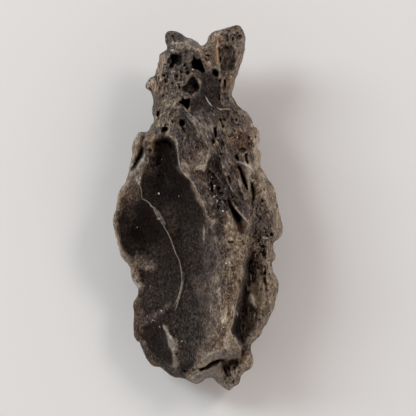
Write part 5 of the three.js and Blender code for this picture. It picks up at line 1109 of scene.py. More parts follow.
     (0.35, 16.8), (0.2, 16), (-0.3, 15.4), (-0.9, 15.2), (-1.3, 15.6), (-1.9, 15.8)]),
    (0.28, 1, 0.5, 0.8, [(5, 9.8), (6.4, 10.4), (7.4, 9.4), (7.2, 7.9), (5.6, 7.8)]),
    (0.46, 0.7, 0.2, 0.5, [(7.4, -17.8), (8, -15.4), (8.8, -14.6), (9.4, -15.4), (8.6, -17.4)]),
    # ear and horn
    (0.16, 0.7, 0.5, 0.4, [(3.2, 21.5), (5.1, 21.6), (5.1, 19), (4, 18.8), (3.3, 19.2)]),
    (0.46, 0.35, 0.5, 0.3, [(5.3, 22.4), (6.4, 22.4), (5.9, 18.8), (5.2, 17.4), (5.3, 20)]),
    (0.19, 0.35, 0.2, 0.6, [(-4.5, 24.2), (-2.2, 24), (-0.8, 23.2), (-2.4, 22.6), (-4.3, 22.4)]),
    (0.31, 0.7, 0.1, 0.4, [(-3, 22.3), (-0.6, 22.5), (0.2, 22), (-0.8, 21.9), (-2, 21.6),
     (-3, 21.8)]),
    # the buff band with its lip, the tongue and the lobes
    (0.45, 0.9, 0.15, 0.3, [(4.2, -1.7), (5.1, -2.4), (5.5, -3.4), (6.4, -3.2), (6.9, -2.2),
     (7.1, -3.2), (7, -5), (6.5, -7), (6.3, -9), (5.9, -10.3), (5.8, -11.6), (5.4, -12.6),
     (5.1, -14), (5, -15), (4.6, -16.6), (5, -17.6), (5.8, -19.2), (5.6, -20.2), (3.8, -20.3),
     (2, -20.8), (0.8, -21.8), (0.4, -21.2), (1, -19.6), (2.1, -17), (2.7, -14.6), (2.7, -12),
     (2.6, -10.2), (3.1, -9), (3.7, -7.4), (4.1, -5), (3.8, -3)]),
    (0.39, 0.9, 0.15, 1, [(3.2, -6.5), (4.6, -5), (5.6, -7), (5.2, -11), (4.6, -15.5),
     (3.6, -16.8), (2.8, -15), (2.9, -10)]),
    (0.5, 0.8, 0.15, 0.5, [(4, -2), (5.3, -2.6), (5.8, -3.8), (5.4, -4.8), (4.2, -4.6)]),
    # painted light: the band's edge along the cliff is lighter where its face turns from the lamps
    (0.5, 0.85, 0.1, 0.4, [(6.2, -5.2), (6.6, -5.6), (6.5, -7), (6.4, -9), (6, -10.3),
     (5.9, -11.6), (5.3, -13), (5, -15), (4.6, -16.6), (4.2, -16.6), (4.5, -14.4), (4.9, -12.4),
     (5.2, -10.6), (5.6, -8.6), (5.8, -6.6)]),
    (0.38, 0.8, 0.2, 0.4, [(5.1, -12.6), (5.9, -12.4), (5.7, -13.8), (5.1, -14)]),
    (0.66, 0.8, 0.15, 0.3, [(3.4, -14.6), (4.1, -14.6), (4.2, -16), (3.5, -15.8)]),
    (0.66, 0.8, 0.15, 0.3, [(4, -17), (4.7, -17), (4.8, -18.6), (4.1, -18.6)]),
    (0.32, 0.8, 0.3, 0.8, [(2.4, -16.6), (3.8, -16.8), (3.6, -18.6), (2, -19.2), (1.6, -18.4)]),
    (0.37, 0.4, 0.5, 1.3, [(3, -8), (1.9, -9.6), (1.6, -12), (1.8, -14.4), (1.2, -17),
     (0.1, -19.8), (0, -21), (1.6, -19.6), (2.4, -17), (3, -14), (2.9, -11.6), (3.2, -9.4)]),
    (0.26, 0.6, 0.3, 0.5, [(2.8, -4.2), (3.9, -4.2), (4.2, -7), (3.9, -9), (3.8, -11.4),
     (3.2, -11.6), (3.1, -9), (3, -7)]),
    (0.6, 0.75, 0.15, 0.5, [(3.8, -17.6), (5, -17.2), (5.8, -19), (5.4, -19.9), (3.9, -19.6)]),
    (0.46, 0.3, 0.6, 0.3, [(0.4, -21.6), (1, -20.5), (2.2, -19.7), (4, -19.5), (4.8, -20.2),
     (2.4, -20.6), (1, -21.6)]),
    (0.48, 0.05, 0.7, 0.2, [(-1.2, -23.5), (-0.2, -22.7), (0.6, -22.5), (2, -21.6), (3.3, -21.1),
     (3.1, -22), (2.6, -23), (1.4, -23.6), (0.2, -24.6), (-0.8, -24.2)]),
    (0.16, 1, 0.5, 0.4, [(3.6, -21), (5.6, -20.8), (5.6, -21.8), (4.6, -22.2), (3.6, -21.8)]),
    # painted light: the grey lobe is lightened against the shade that falls on it
    (0.44, 0.4, 0.3, 0.4, [(2.6, -23.2), (4, -23), (5.8, -22.6), (5.8, -24.4), (4.4, -25.2),
     (3, -24.4)]),
    # painted light: the tan lobe is lightened against the shade of its slope
    (0.66, 0.85, 0.2, 0.5, [(5.8, -20.4), (7.2, -20.2), (7.7, -21.2), (6.8, -21.9), (5.7, -22)]),
    (0.3, 0.9, 0.2, 0.3, [(5.8, -19.4), (6.9, -19.2), (7, -20), (5.9, -20.4)]),
    # the cleft under the cliff, with the buff facet right of it
    (0.23, 0.6, 0.3, 0.15, [(6.6, -6.8), (7.9, -7.4), (8.2, -9), (7.8, -10), (7.2, -10.7),
     (7.2, -12), (7.6, -13.6), (8, -14.6), (7.8, -16), (7, -17.6), (6.4, -18.6), (5.8, -18.9),
     (5.1, -17.6), (4.6, -16.5), (5.1, -14.9), (5.2, -13.9), (5.4, -12.6), (5.85, -11.4),
     (5.9, -10.4), (6.3, -9.2), (6.4, -8.2)]),
    # painted shade: black under the cliff, at the foot of the cleft
    (0, 0.8, 0.6, 0.3, [(5.1, -14.4), (5.7, -14.4), (6.1, -16.8), (5.7, -18.2), (4.8, -17.2),
     (4.8, -16)]),
    (0.24, 0.4, 0.4, 0.5, [(6.6, -13.6), (7.8, -13.8), (8, -16), (7, -17.6), (6.4, -16)]),
    (0.62, 0.7, 0.2, 0.4, [(7.9, -5.4), (8.6, -5.6), (8.9, -8), (8.6, -10.4), (8.1, -10.2),
     (8.1, -8.6), (7.8, -7)]),
    (0.4, 0.8, 0.1, 0.3, [(9.4, -6.4), (10.1, -6.8), (10, -8.4), (10.1, -10.6), (9.6, -10.8),
     (9.3, -9)]),
    (0.25, 0.8, 0.1, 0.4, [(7.6, -12.4), (8.8, -13.2), (9.8, -13.2), (9.4, -14.8), (8.6, -14.2)]),
    (0.23, 0.8, 0.1, 0.5, [(7, 1), (8.4, 1.2), (9.2, 0.2), (10.3, -0.8), (10.2, -4.2), (8.8, -4.2),
     (7.4, -3.8), (7.2, -1.4)]),
    (0.3, 0.6, 0.2, 0.3, [(7.6, 5.2), (8.3, 5), (8.2, 4), (7.6, 4)]),
    (0, 0.6, 0.4, 0.4, [(4.3, 3.8), (5.1, 3.8), (5.6, 2), (6, 0.4), (5.5, -0.4), (4.9, 1.2)]),
    (0.1, 0.5, 0.4, 0.3, [(3.2, 0.8), (3.9, 0.6), (4.3, -0.2), (3.6, -0.4)]),
    (0.2, 0.5, 0.4, 0.3, [(1.7, -0.9), (2.3, -0.4), (2.8, -1.4), (2.1, -1.7)]),
    (0.62, 1, 0.6, 0.25, [(7.9, -10.1), (8.9, -10.6), (9.2, -11.6), (9.1, -12.8), (8.8, -13.9),
     (8.2, -13.6), (7.8, -12.6), (7.2, -11.6), (7.2, -10.8)]),
    (0.95, 0.5, 0.3, 0.15, [(7.2, -11.9), (7.6, -12.1), (7.9, -12.9), (8, -13.6), (7.6, -13.6),
     (7.2, -12.8)]),
    # the thin blade and the worn edge behind the scoops
    (0.54, 0.6, 0.2, 0.2, [(-9.2, 6), (-8.9, 9.8), (-7.2, 10.6), (-7.2, 9), (-8.2, 7.4)]),
    # painted shade: black in the slot beside the blade
    (0, 0.7, 0.3, 0.15, [(-7.4, 7.9), (-7, 7.4), (-7.3, 6.7), (-7.9, 5.6), (-8.8, 4.6),
     (-8.8, 5.4), (-8.2, 6.8), (-7.8, 7.6)]),
    (0.3, 0.7, 0.2, 0.3, [(-8.4, 10.6), (-7, 10.6), (-7, 9.4), (-7.9, 9.4)]),
    (0.45, 0.9, 0.3, 0.3, [(-6.9, 9.6), (-6, 9.6), (-5.7, 8.8), (-5.9, 7.6), (-6.3, 7.1),
     (-6.6, 7.6), (-6.8, 8.6)]),
    (0.36, 0.4, 0.3, 0.2, [(-6.9, 7.6), (-6.7, 6.2), (-7.7, 4.6), (-9, 3.6), (-9.6, 3.8),
     (-8.6, 5.2), (-7.6, 6.6)]),
    (0.55, 0.5, 0.4, 0.25, [(-9.4, 3.8), (-10.6, 2.6), (-11.2, 0.6), (-11.8, -1.6), (-11.4, -4.4),
     (-10.8, -6.2), (-9.4, -7.4), (-9.2, -6.8), (-10.3, -5.4), (-10.8, -3.4), (-11.1, -1.4),
     (-10.5, 1), (-9.8, 2.4)]),
    (0.5, 0.3, 0.3, 0.2, [(-8.4, -7.8), (-8.6, -9.2), (-7.7, -10.8), (-7.6, -11.4), (-8.3, -10.9),
     (-9.3, -9.4), (-9.2, -8)]),
    (0.52, 0, 0.4, 0.25, [(-4.6, -16.2), (-4.1, -16.4), (-3.6, -17), (-3.1, -17.8), (-2.6, -18.6),
     (-2.7, -19.4), (-3, -19.8), (-2.8, -20.6), (-2.5, -21.5), (-3.1, -21.8), (-3.5, -20.5),
     (-3.7, -19.6), (-4.05, -18.6), (-4.35, -17.6), (-4.6, -16.8)]),
    # darker patches: under the cup, on the slope, over the eye of the head, on the lip, at the
    # notch
    (0.22, 0.3, 0.3, 0.3, [(-2.6, 15.9), (-0.2, 16.1), (0.3, 15.2), (-1, 14.8), (-2.4, 15)]),
    (0.28, 0.3, 0.3, 0.5, [(-0.3, 11.4), (0.6, 11), (1.4, 9.6), (0.8, 8.8), (-0.1, 9.8)]),
    (0.16, 0.4, 0.3, 0.3, [(-0.9, 19.4), (0.2, 19.3), (0.4, 17.6), (-0.3, 17.8)]),
    (0.36, 0.5, 0.3, 0.3, [(3.6, -19.7), (4.8, -19.2), (5.8, -19.3), (5.8, -20.4), (4, -20.9)]),
    (0.34, 0.5, 0.3, 0.4, [(4.2, -0.4), (5, -0.8), (6, -3), (5.2, -3.2)]),
]

# worn crests, and painted highlights on lit ridges and splinters: how pale, half width, line
CRESTS = [
    (0.35, 0.08, [(-7.9, 3.3), (-7.6, 2.2), (-7.5, 1.2), (-6.9, 0.9), (-6.2, 0.2), (-5.7, -0.8),
     (-5.1, -1.7)]),
    (0.45, 0.09, [(-5.1, -1.7), (-4.4, -2.8), (-3.8, -3.9), (-3.3, -5.2), (-2.9, -6.3),
     (-2.4, -7.4), (-2.2, -8.6), (-2.1, -9.8), (-2.3, -11.2), (-2.7, -12.4), (-3.2, -13.4)]),
    (0.4, 0.09, [(-1.8, -9), (-1.9, -10.4), (-2.2, -11.4), (-2.45, -12.4), (-2.7, -13.3),
     (-3, -14)]), (0.5, 0.2, [(-5.4, -1.6), (-4.8, -1.5)]),
    (0.4, 0.25, [(-6.4, 0.3), (-5.4, -0.6), (-4.4, -2.1)]),
    (0.38, 0.11, [(-3.1, 9.3), (-2.7, 8.2), (-2.6, 7), (-2.4, 5.8), (-2.1, 5), (-1.6, 4.4),
     (-0.8, 3.6), (-0.2, 2.6), (0.1, 1.8), (0.5, 0.8)]),
    (0.3, 0.2, [(1.2, -0.9), (1.7, -1.7), (2.3, -2), (1.9, -2.6), (2.3, -3.4)]),
    (0.55, 0.07, [(-1.8, 13.6), (-1, 12.7), (-0.3, 11.9), (0.4, 11.2)]),
    (0.4, 0.06, [(-1.4, 12.5), (-0.9, 11.8), (-0.2, 11.1)]),
    (0.25, 0.12, [(-0.3, 12.3), (0.2, 11.5), (0.9, 10.9)]),
    (0.9, 0.12, [(1.2, 15), (1.5, 14.4), (1.95, 13.85)]), (0.9, 0.12, [(2.8, 13.6), (3.3, 13.25)]),
    (0.8, 0.1, [(3.4, 13.4), (4.3, 13.4)]), (0.6, 0.12, [(3.4, 15.8), (3.65, 16.9), (3.75, 17.9)]),
    (0.7, 0.14, [(5.2, -0.1), (5.9, -0.9), (6.6, -1.7), (7, -2.2)]),
    (0.8, 0.2, [(6.9, -2.1), (7.1, -2.3)]),
    (0.6, 0.2, [(5.4, 6.2), (6.5, 5.9), (7.3, 5.4), (7.7, 4.8)]),
    (0.9, 0.25, [(6.7, 5.7), (7.3, 5.3)]), (0.7, 0.2, [(7, 5.6), (7.4, 5.2)]),
    (0.5, 0.25, [(5.7, 3.8), (5.9, 2.9)]), (0.4, 0.16, [(4.3, 3.1), (4.9, 2.1)]),
    (0.9, 0.16, [(7.3, -9.2), (7.35, -9.9)]),
    (0.25, 0.08, [(0.3, 17.3), (0.45, 16.6), (0.3, 15.9)]),
    (0.8, 0.16, [(5.4, -14.2), (5.5, -14.8)]), (0.5, 0.12, [(6, -16.2), (6.1, -17.2)]),
    (0.5, 0.14, [(5.6, -11.9), (5.5, -12.5)]), (0.5, 0.1, [(6.6, -7), (6.35, -9), (6, -10.2)]),
    (0.5, 0.1, [(5.5, -12.4), (5.1, -14), (4.95, -15), (4.6, -16.4)]),
    (0.6, 0.14, [(7.9, -14.5), (7.8, -15)]), (0.5, 0.12, [(9, -8.4), (9.1, -9)]),
    (0.8, 0.14, [(6.85, -10.7), (6.95, -11.2)]), (0.8, 0.22, [(8.9, -4.1), (9.6, -4.25)]),
    (0.7, 0.2, [(-3.6, 21.45), (-3.3, 21.5)]), (0.3, 0.16, [(-3.4, 22.4), (-2, 22.4), (-1, 22)]),
    (0.3, 0.16, [(0.6, -20.9), (1.6, -20), (3, -19.5)]),
    (0.35, 0.14, [(3.7, -17.6), (3.7, -18.8), (4.2, -19.6)]),
    (0.6, 0.14, [(4.4, -16.6), (4.6, -17.2)]), (0.6, 0.2, [(5.2, -17.6), (5.5, -18.6)]),
    (0.4, 0.16, [(-1.3, -23.2), (-0.4, -22.5), (0.3, -22.4)]),
    (0.4, 0.12, [(1.9, -13), (1.8, -14.2)]),
    (0.6, 0.24, [(-4.1, -17.2), (-3.4, -18), (-3.1, -18.8), (-3.3, -19.4)]),
    (0.4, 0.2, [(0.9, -2.6), (0.9, -4.6)]), (0.5, 0.14, [(-2.9, 9.4), (-2.6, 8.6)]),
    (0.5, 0.2, [(-3.8, 9.8), (-3.6, 9.6)]),
    (0.5, 0.12, [(-7.2, 7.8), (-7.3, 6.8), (-8, 5.7), (-8.8, 4.8)]),
    (0.4, 0.2, [(-5.6, 12.4), (-4.4, 12.9)]), (0.45, 0.16, [(-6.4, 12), (-5.4, 12.3)]),
    (0.4, 0.16, [(1.6, 8.1), (1.5, 7.2), (1.2, 6)]),
]

# buff to orange staining: x, y, reach, strength
STAINS = [
    (2.8, 22.8, 0.8, 0.7), (2.65, 21.4, 0.8, 1), (2.6, 20.2, 0.6, 1), (-5.6, 16.4, 0.8, 0.5),
    (-5.4, 17.2, 0.6, 0.4), (6, 9, 2, 0.6), (-9.2, 1.6, 1.6, 0.4), (-10.2, -1.4, 1.2, 0.3),
    (5.8, -2.7, 0.7, 0.8), (-5.8, 9, 1.2, 0.4), (-0.8, 6.8, 0.8, 0.3), (4.4, -11.6, 1, 0.3),
    (3.4, -18, 1, 0.35), (6.2, -20.2, 1, 0.4), (-7.4, -9.3, 0.8, 0.5), (4.3, 17, 0.8, 0.4),
    (-0.4, 8.6, 1.2, 0.3), (0.2, 4.3, 0.6, 0.5),
]

# pale dust grains, and painted glints of tiny lit chips: x, y, radius
DUST_AND_GLINTS = [
    (-5.7, -11.6, 0.18), (-4.1, -11.75, 0.16), (-4.55, -12.5, 0.18), (-1.35, -12.3, 0.15),
    (-6.7, 3.7, 0.16), (-6.7, 3.25, 0.14), (-5.35, 2, 0.18), (-2.4, 1.7, 0.18), (-4.45, 4.9, 0.16),
    (-4.5, 5.2, 0.12), (-5.9, 4.6, 0.16), (-8.9, -2.65, 0.16), (-8.2, -2.65, 0.18),
    (-4.2, 6.4, 0.12), (-5.9, -14.4, 0.18), (-6.9, -15.3, 0.16), (-5.3, -16.3, 0.16),
    (-1.6, -17.7, 0.14), (-2, -17.85, 0.16), (4.05, -7.4, 0.2), (4.6, -4.4, 0.16),
    (1.7, 3.5, 0.16), (2.3, 2.8, 0.2), (2.1, 3, 0.14), (1.75, 2.5, 0.16), (2.4, 1.6, 0.18),
    (2.5, 0.2, 0.2), (2, 0.5, 0.16), (2.8, 0.9, 0.14), (3.5, -0.4, 0.18), (5.3, 9.7, 0.2),
    (7.25, 9.5, 0.18), (-3.7, 9.75, 0.2), (-0.65, 18.65, 0.18), (-3.45, 21.5, 0.22),
    (4.5, -10.8, 0.14), (3.7, -16.3, 0.16), (5.6, -9.3, 0.2), (-6.2, -10.8, 0.14),
    (2.9, 9.35, 0.14), (-0.6, -22.5, 0.14), (-1.3, -22.2, 0.14), (-5, -14.1, 0.14),
    (-3.2, 6.3, 0.1), (4, 18.2, 0.16), (4.5, 17.7, 0.16),
]
# places where such dust grains and painted glints lie close together: x, y, reach, strength
GLITTER = [
    (7, -8.6, 1.4, 0.4), (6.5, -11, 1, 0.45), (6, -14, 1, 0.4), (6.2, -16.6, 1, 0.35),
    (7.8, -3.6, 1.4, 0.35), (-1.6, 20.6, 1.2, 0.45), (-2.8, 17.4, 1.6, 0.4),
    (-5.2, 13.2, 0.8, 0.4), (-5.6, 5.8, 1.5, 0.35), (-6, -15.1, 1.1, 0.5), (-4.4, -14.9, 1, 0.5),
    (-1.8, -17.8, 0.6, 0.5), (-5.4, -16.4, 0.5, 0.4), (2.2, 2.8, 1, 0.5), (2.4, 0.6, 1, 0.5),
    (-2.6, 17.4, 1.4, 0.3), (-1.2, -22.6, 0.8, 0.5), (8.6, -4.8, 1.4, 0.3), (-3.2, 1.2, 1.2, 0.2),
    (4.8, 18.2, 0.8, 0.4), (-2.4, -18.6, 0.9, 0.5), (-7.2, -16.2, 0.8, 0.3), (2.1, 4.6, 1, 0.5),
    (6.2, 4.2, 1.4, 0.3), (-2, 21, 1.2, 0.35), (4, -18.4, 1, 0.2), (5.9, -9.5, 0.8, 0.4),
    (5.3, -16.4, 0.6, 0.4), (-6.4, -12.6, 1, 0.3),
]
# tone, warmth and gloss where no finish is laid, above and below, how far these swing below,
# and what they are in the fresh shell-shaped hollows of the underside
GROUND, GROUND_BELOW, SWING_BELOW = (0.45, 0.6, 0.15), (0.42, 0.6, 0.15), (0.12, 0.2, 0)
FRESH_BELOW = (0.1, 0.4, 0.9)
HOLLOWS_BELOW = [(-0.4, -7, 6), (5.2, 5, 4), (-8, -2, 3.4), (-2, 16, 3)]     # x, y, reach
BORDERS = ((0.22, 0.9), (0.12, 0.4))     # how far and how often borders wander, mm
LINE_FAR = 0.6                           # how far beside a worn line its place across is kept, mm
LINE_END = 0.2                           # how softly a worn line ends, mm
CREST_RELAXING, CREST_ROUNDS = 4, 2      # how often the form and then the crests are smoothed
FULL_CREST = 0.07                        # how far a full crest stands out, mm


def normals_of(obj):
    flat = np.empty(3 * len(obj.data.vertices))
    obj.data.vertices.foreach_get("normal", flat)
    return flat.reshape(-1, 3)


def crest_field(obj):
    """How far each vertex stands out from its neighbours, smoothed; positive on crests."""
    places = vertices_of(obj)
    edges = np.empty(2 * len(obj.data.edges), int)
    obj.data.edges.foreach_get("vertices", edges)
    a, b = edges[::2], edges[1::2]
    count = np.bincount(a, minlength=len(places)) + np.bincount(b, minlength=len(places))

    def neighbour_mean(values):
        total = np.bincount(a, values[b], len(places)) + np.bincount(b, values[a], len(places))
        return total / np.maximum(count, 1)

    smooth = places
    for _ in range(CREST_RELAXING):
        smooth = np.column_stack([neighbour_mean(smooth[:, k]) for k in range(3)])
    out = ((places - smooth) * normals_of(obj)).sum(axis=1)
    for _ in range(CREST_ROUNDS):
        out = neighbour_mean(out)
    return out


x, y, z = vertices_of(body).T
facing_up = normals_of(body)[:, 2]
middle = 0.5 * (read_sheet(upper, x, y) + read_sheet(lower, x, y))
seen_above = ease((z - middle) / 0.8 + 0.5)

blotches = lumps(x, y, z, 1.7) + 0.5 * lumps(x, y, z, 0.8)
below = [state + swing * blotches for state, swing in zip(GROUND_BELOW, SWING_BELOW)]
for px, py, reach in HOLLOWS_BELOW:
    away = np.hypot((x - px) * 1.8, y - py) / reach + 0.15 * blotches
    fresh = 1 - ease((away - 0.6) / 0.3)
    below = [state + (value - state) * fresh for state, value in zip(below, FRESH_BELOW)]

border = sum(far * lumps(plan_x, plan_y, 0 * plan_x, apart) for far, apart in BORDERS)
laid = [np.full(plan_x.shape, value) for value in GROUND]
for *values, softness, place in FINISHES:
    away = outside_of(curve(place, closed=True), 2 * softness + 0.5) + border
    cover = ease(0.5 - away / (0.8 * softness))
    laid = [under + (value - under) * cover for under, value in zip(laid, values)]

nearest = np.full(plan_x.shape, LINE_FAR)
beside, pale = np.zeros(plan_x.shape), np.zeros(plan_x.shape)
for strength, reach, line in CRESTS:
    points = curve(line)[:, :2]
    heading = np.gradient(points, axis=0)
    heading /= np.linalg.norm(heading, axis=1)[:, None]
    taper = reach * (0.3 + 0.7 * np.sqrt(np.sin(math.pi * np.linspace(0.02, 0.98, len(points)))))
    for (px, py), (dx, dy), width in zip(points, heading, taper):
        i, j = (int((p - least - LINE_FAR) / CELL) for p, least in ((px, WEST), (py, SOUTH)))
        count = int(2 * LINE_FAR / CELL) + 3
        window = (slice(max(j, 0), j + count), slice(max(i, 0), i + count))
        u, v = plan_x[window] - px, plan_y[window] - py
        away = np.hypot(u, v)
        closer = away < nearest[window]
        nearest[window] = np.where(closer, away, nearest[window])
        beside[window] = np.where(closer, (u * dy - v * dx) / width, beside[window])
        fade = ease(1 - np.abs(u * dx + v * dy) / LINE_END) * ease(2 - 2 * away / LINE_FAR)
        pale[window] = np.where(closer, strength * fade, pale[window])

for name, sheet, under in zip(("tone", "warmth", "gloss"), laid, below):
    spread(body, name, under + (read_sheet(sheet, x, y) - under) * seen_above)
across, along, drawn, _ = drawn_frame(x, y)
under_skin = ease((read_sheet(upper, x, y) - z) / 0.5)
dust_and_glint_places = [(px, py, 2 * radius, 1) for px, py, radius in DUST_AND_GLINTS] + GLITTER
for name, values in {
        "across": across, "along": along, "drawn": np.clip(drawn * seen_above, 0, 1),
        "beside": read_sheet(beside, x, y),
        "pale": read_sheet(pale, x, y) * seen_above * ease(facing_up / 0.3),
        "dust_and_glint_cover": patches(x, y, dust_and_glint_places) * seen_above,
        "crest": np.clip(crest_field(body) / FULL_CREST, -1, 1),
        "thread": read_sheet(threads, x, y) * seen_above,
        "sunk": read_sheet(sunk, x, y) * seen_above * under_skin,
        "stain": patches(x, y, STAINS) * seen_above * ease((facing_up - 0.05) / 0.35)}.items():
    spread(body, name, values)


def linear(code):
    """An sRGB hex colour as linear red, green, blue and a full alpha."""
    parts = [int(code[i:i + 2], 16) / 255 for i in (1, 3, 5)]
    return [c / 12.92 if c <= 0.04045 else ((c + 0.055) / 1.055) ** 2.4 for c in parts] + [1]


glass_mat.use_nodes = True
tree = glass_mat.node_tree
bsdf = tree.nodes["Principled BSDF"]
place = add(tree, "ShaderNodeTexCoord").outputs["Object"]
# how far apart the swells of each pattern lie, mm
BLOTCH, MOTTLE, FINE, HAZE, TINT, PORE, SPECK = 1.3, 0.5, 0.22, 0.2, 2.4, 0.5, 0.4
FLOW_LENGTH = 0.15                       # a pattern's density along the threads, for that across
BUMP_HEIGHT = 0.12                       # how high the frosting stands, mm


def value_of(name):
    return add(tree, "ShaderNodeAttribute", {"attribute_name": name}).outputs["Fac"]


def maths(operation, a, b=0.0, c=0.0):
    return add(tree, "ShaderNodeMath", {"operation": operation}, i0=a, i1=b, i2=c).outputs[0]


def scaled(a, factor, plus=0.0):
    return maths("MULTIPLY_ADD", a, factor, plus)


def clamp(a, least, most):
    return maths("MINIMUM", maths("MAXIMUM", a, least), most)


def between(value, low, high, first=1.0, last=0.0, kind="LINEAR"):
    """Goes from the first number to the last as the value goes from low to high."""
    return add(tree, "ShaderNodeMapRange", {"interpolation_type": kind}, Value=value, **{
        "From Min": low, "From Max": high, "To Min": first, "To Max": last}).outputs[0]


def noise(spacing, detail=3.0, roughness=0.6, at=place):
    """Noise whose swells lie the given number of millimetres apart."""
    return add(tree, "ShaderNodeTexNoise", Vector=at, Scale=1 / (spacing * MM), Detail=detail,
               Roughness=roughness).outputs["Fac"]


def hairlines(spacing, width, at, detail=2.0):
    """Thin winding lines, where a noise passes through its middle value."""
    off_middle = maths("ABSOLUTE", maths("SUBTRACT", noise(spacing, detail, 0.5, at), 0.5))
    return between(off_middle, 0.0, width)


def dots(spacing, factor, plus, low, high):
    """Round dots of uneven size, a chance number times a factor plus what every dot gets."""
    cells = add(tree, "ShaderNodeTexVoronoi", Vector=place, Scale=1 / (spacing * MM))
    chosen = add(tree, "ShaderNodeSeparateXYZ", Vector=cells.outputs["Color"]).outputs["X"]
    radius = scaled(chosen, factor, plus)
    return between(maths("SUBTRACT", cells.outputs["Distance"], radius), low, high)


def ramp(fac, *stops):
    """A colour ramp through hex colours at places from 0 to 1."""
    node = add(tree, "ShaderNodeValToRGB", Fac=fac)
    elements = node.color_ramp.elements
    for position, _ in stops[2:]:
        elements.new(position)
    for element, (position, code) in zip(elements, stops):
        element.position = position
        element.color = linear(code)
    return node.outputs["Color"]


def mix(fac, a, b, blend="MIX"):
    return add(tree, "ShaderNodeMix", {"data_type": "RGBA", "blend_type": blend},
               Factor=fac, i6=a, i7=b).outputs[2]


# Natural impact glass: the fresh face is a near black, satin mirror of the room with a fine
# grain; the etched skin is frosted and takes the buff of the soil it lay in.
tone, warmth, gloss, drawn, thread, bubble = map(value_of, (
    "tone", "warmth", "gloss", "drawn", "thread", "bubble"))
pale, beside, dust_and_glint_cover, crest, sunk, stain = map(value_of, (
    "pale", "beside", "dust_and_glint_cover", "crest", "sunk", "stain"))
etched = maths("SUBTRACT", 1.0, gloss)
stretched = add(tree, "ShaderNodeVectorMath", {"operation": "MULTIPLY"},
                i0=place, i1=(1, 0.55, 1)).outputs[0]
flow = add(tree, "ShaderNodeCombineXYZ", X=scaled(value_of("across"), MM),
           Y=scaled(value_of("along"), FLOW_LENGTH * MM)).outputs[0]
blotch, mottle, fine = noise(BLOTCH, 4), noise(MOTTLE, 3), noise(FINE, 2, 0.6, stretched)

# uneven etching, with pale chips and dark nicks
chips = scaled(maths("MAXIMUM", maths("SUBTRACT", fine, 0.58), 0.0), 2.6)
nicks = scaled(maths("MINIMUM", maths("SUBTRACT", fine, 0.4), 0.0), 1.7)
uneven = maths("ADD", scaled(mottle, 0.6, scaled(blotch, 0.9, -0.75)), maths("ADD", chips, nicks))
lit = scaled(uneven, scaled(etched, 0.55, 0.3), scaled(etched, -0.1, tone))

# hairs along the threads, a web of fine cracks, furrows of the flow, and open pores. The pale
# hairs and web are partly painted highlights on the threads.
hairs = maths("MAXIMUM", hairlines(0.8, 0.04, flow), scaled(hairlines(0.35, 0.06, flow), 0.6))
webs = maths("MAXIMUM", scaled(hairlines(1.2, 0.035, stretched, 1), 0.6),
             scaled(hairlines(0.6, 0.06, stretched, 0), 0.65))
strands_and_highlights = maths("MAXIMUM", maths("MULTIPLY", hairs, drawn), webs)
furrows = maths("MULTIPLY", maths("SUBTRACT", noise(0.3, 2, 0.5, flow), 0.5), drawn)
pore = dots(PORE, 0.5, -0.22, -0.06, 0.04)
# how far each of these lightens etched skin, and any glass. Crests and raised threads are worn
# lighter; the darkening of the hollows beside them and inside the burst bubbles is painted shade.
for mark, on_etched, anywhere in (
        (crest, 0.07, 0.02), (thread, 0.12, 0.02), (furrows, 0.4, 0.4), (strands_and_highlights, 0.38, 0.08),
        (bubble, 0.0, -0.12), (pore, -0.12, 0.0)):
    lit = scaled(mark, scaled(etched, on_etched, anywhere), lit)

greys = ramp(lit, (0.0, "#100b0a"), (0.12, "#1c1613"), (0.3, "#3e3430"), (0.5, "#6b625b"),
             (0.75, "#9d948c"), (1.0, "#cdc5bc"))
buffs = ramp(lit, (0.0, "#130b07"), (0.12, "#23170e"), (0.3, "#493526"), (0.5, "#78644c"),
             (0.75, "#a69780"), (1.0, "#d2c6b4"))
tint = maths("SUBTRACT", noise(TINT, 2), 0.42)
colour = mix(clamp(scaled(tint, scaled(etched, 0.8, 0.3), warmth), 0.0, 1.0), greys, buffs)
haze = between(scaled(mottle, 0.5, noise(HAZE, 2, 0.8)), 0.68, 0.95, 0.0, 0.3, "SMOOTHSTEP")
haze = maths("MULTIPLY", haze, scaled(tone, 3.0, 0.05))
colour = mix(maths("MULTIPLY", haze, gloss), colour, linear("#8c857e"))
soil = maths("MULTIPLY", stain, scaled(blotch, 1.2))
colour = mix(soil, colour, linear("#b07a45"), "OVERLAY")
# pale along worn crests, and partly painted highlights along lit ridges
off_crest = maths("ABSOLUTE", scaled(mottle, 1.6, maths("SUBTRACT", beside, 0.8)))
wear_and_highlight = between(off_crest, 0.2, 1.2, kind="SMOOTHSTEP")
wear_and_highlight = maths("MULTIPLY", wear_and_highlight, maths("MULTIPLY", pale, scaled(blotch, 1.6, 0.1)))
colour = mix(maths("MINIMUM", wear_and_highlight, 1.0), colour, linear("#b8aea2"))
# painted shade: holes, pits and slits are darkened by how deep they are sunk
colour = mix(clamp(scaled(sunk, 0.8, -0.2), 0.0, 0.9), colour, linear("#1d1411"))
# pale dust and painted glints: small pale dots, thickest where the grains lie close
dust_and_glint_dots = dots(SPECK, 0.24, scaled(dust_and_glint_cover, 0.45, -0.22), -0.05, 0.05)
colour = mix(scaled(dust_and_glint_dots, 0.8), colour, linear("#cfc9bf"))
tree.links.new(colour, bsdf.inputs["Base Color"])

matt = scaled(maths("SUBTRACT", mottle, 0.5), 0.4, scaled(etched, -0.14, 0.54))
tree.links.new(matt, bsdf.inputs["Roughness"])
bsdf.inputs["IOR"].default_value = 1.5
sheen = maths("MAXIMUM", scaled(maths("SUBTRACT", fine, 0.5), 6.0, 1.0), 0.1)
sheen = maths("MULTIPLY", sheen, scaled(etched, 0.44, 0.06))
tree.links.new(sheen, bsdf.inputs["Specular IOR Level"])

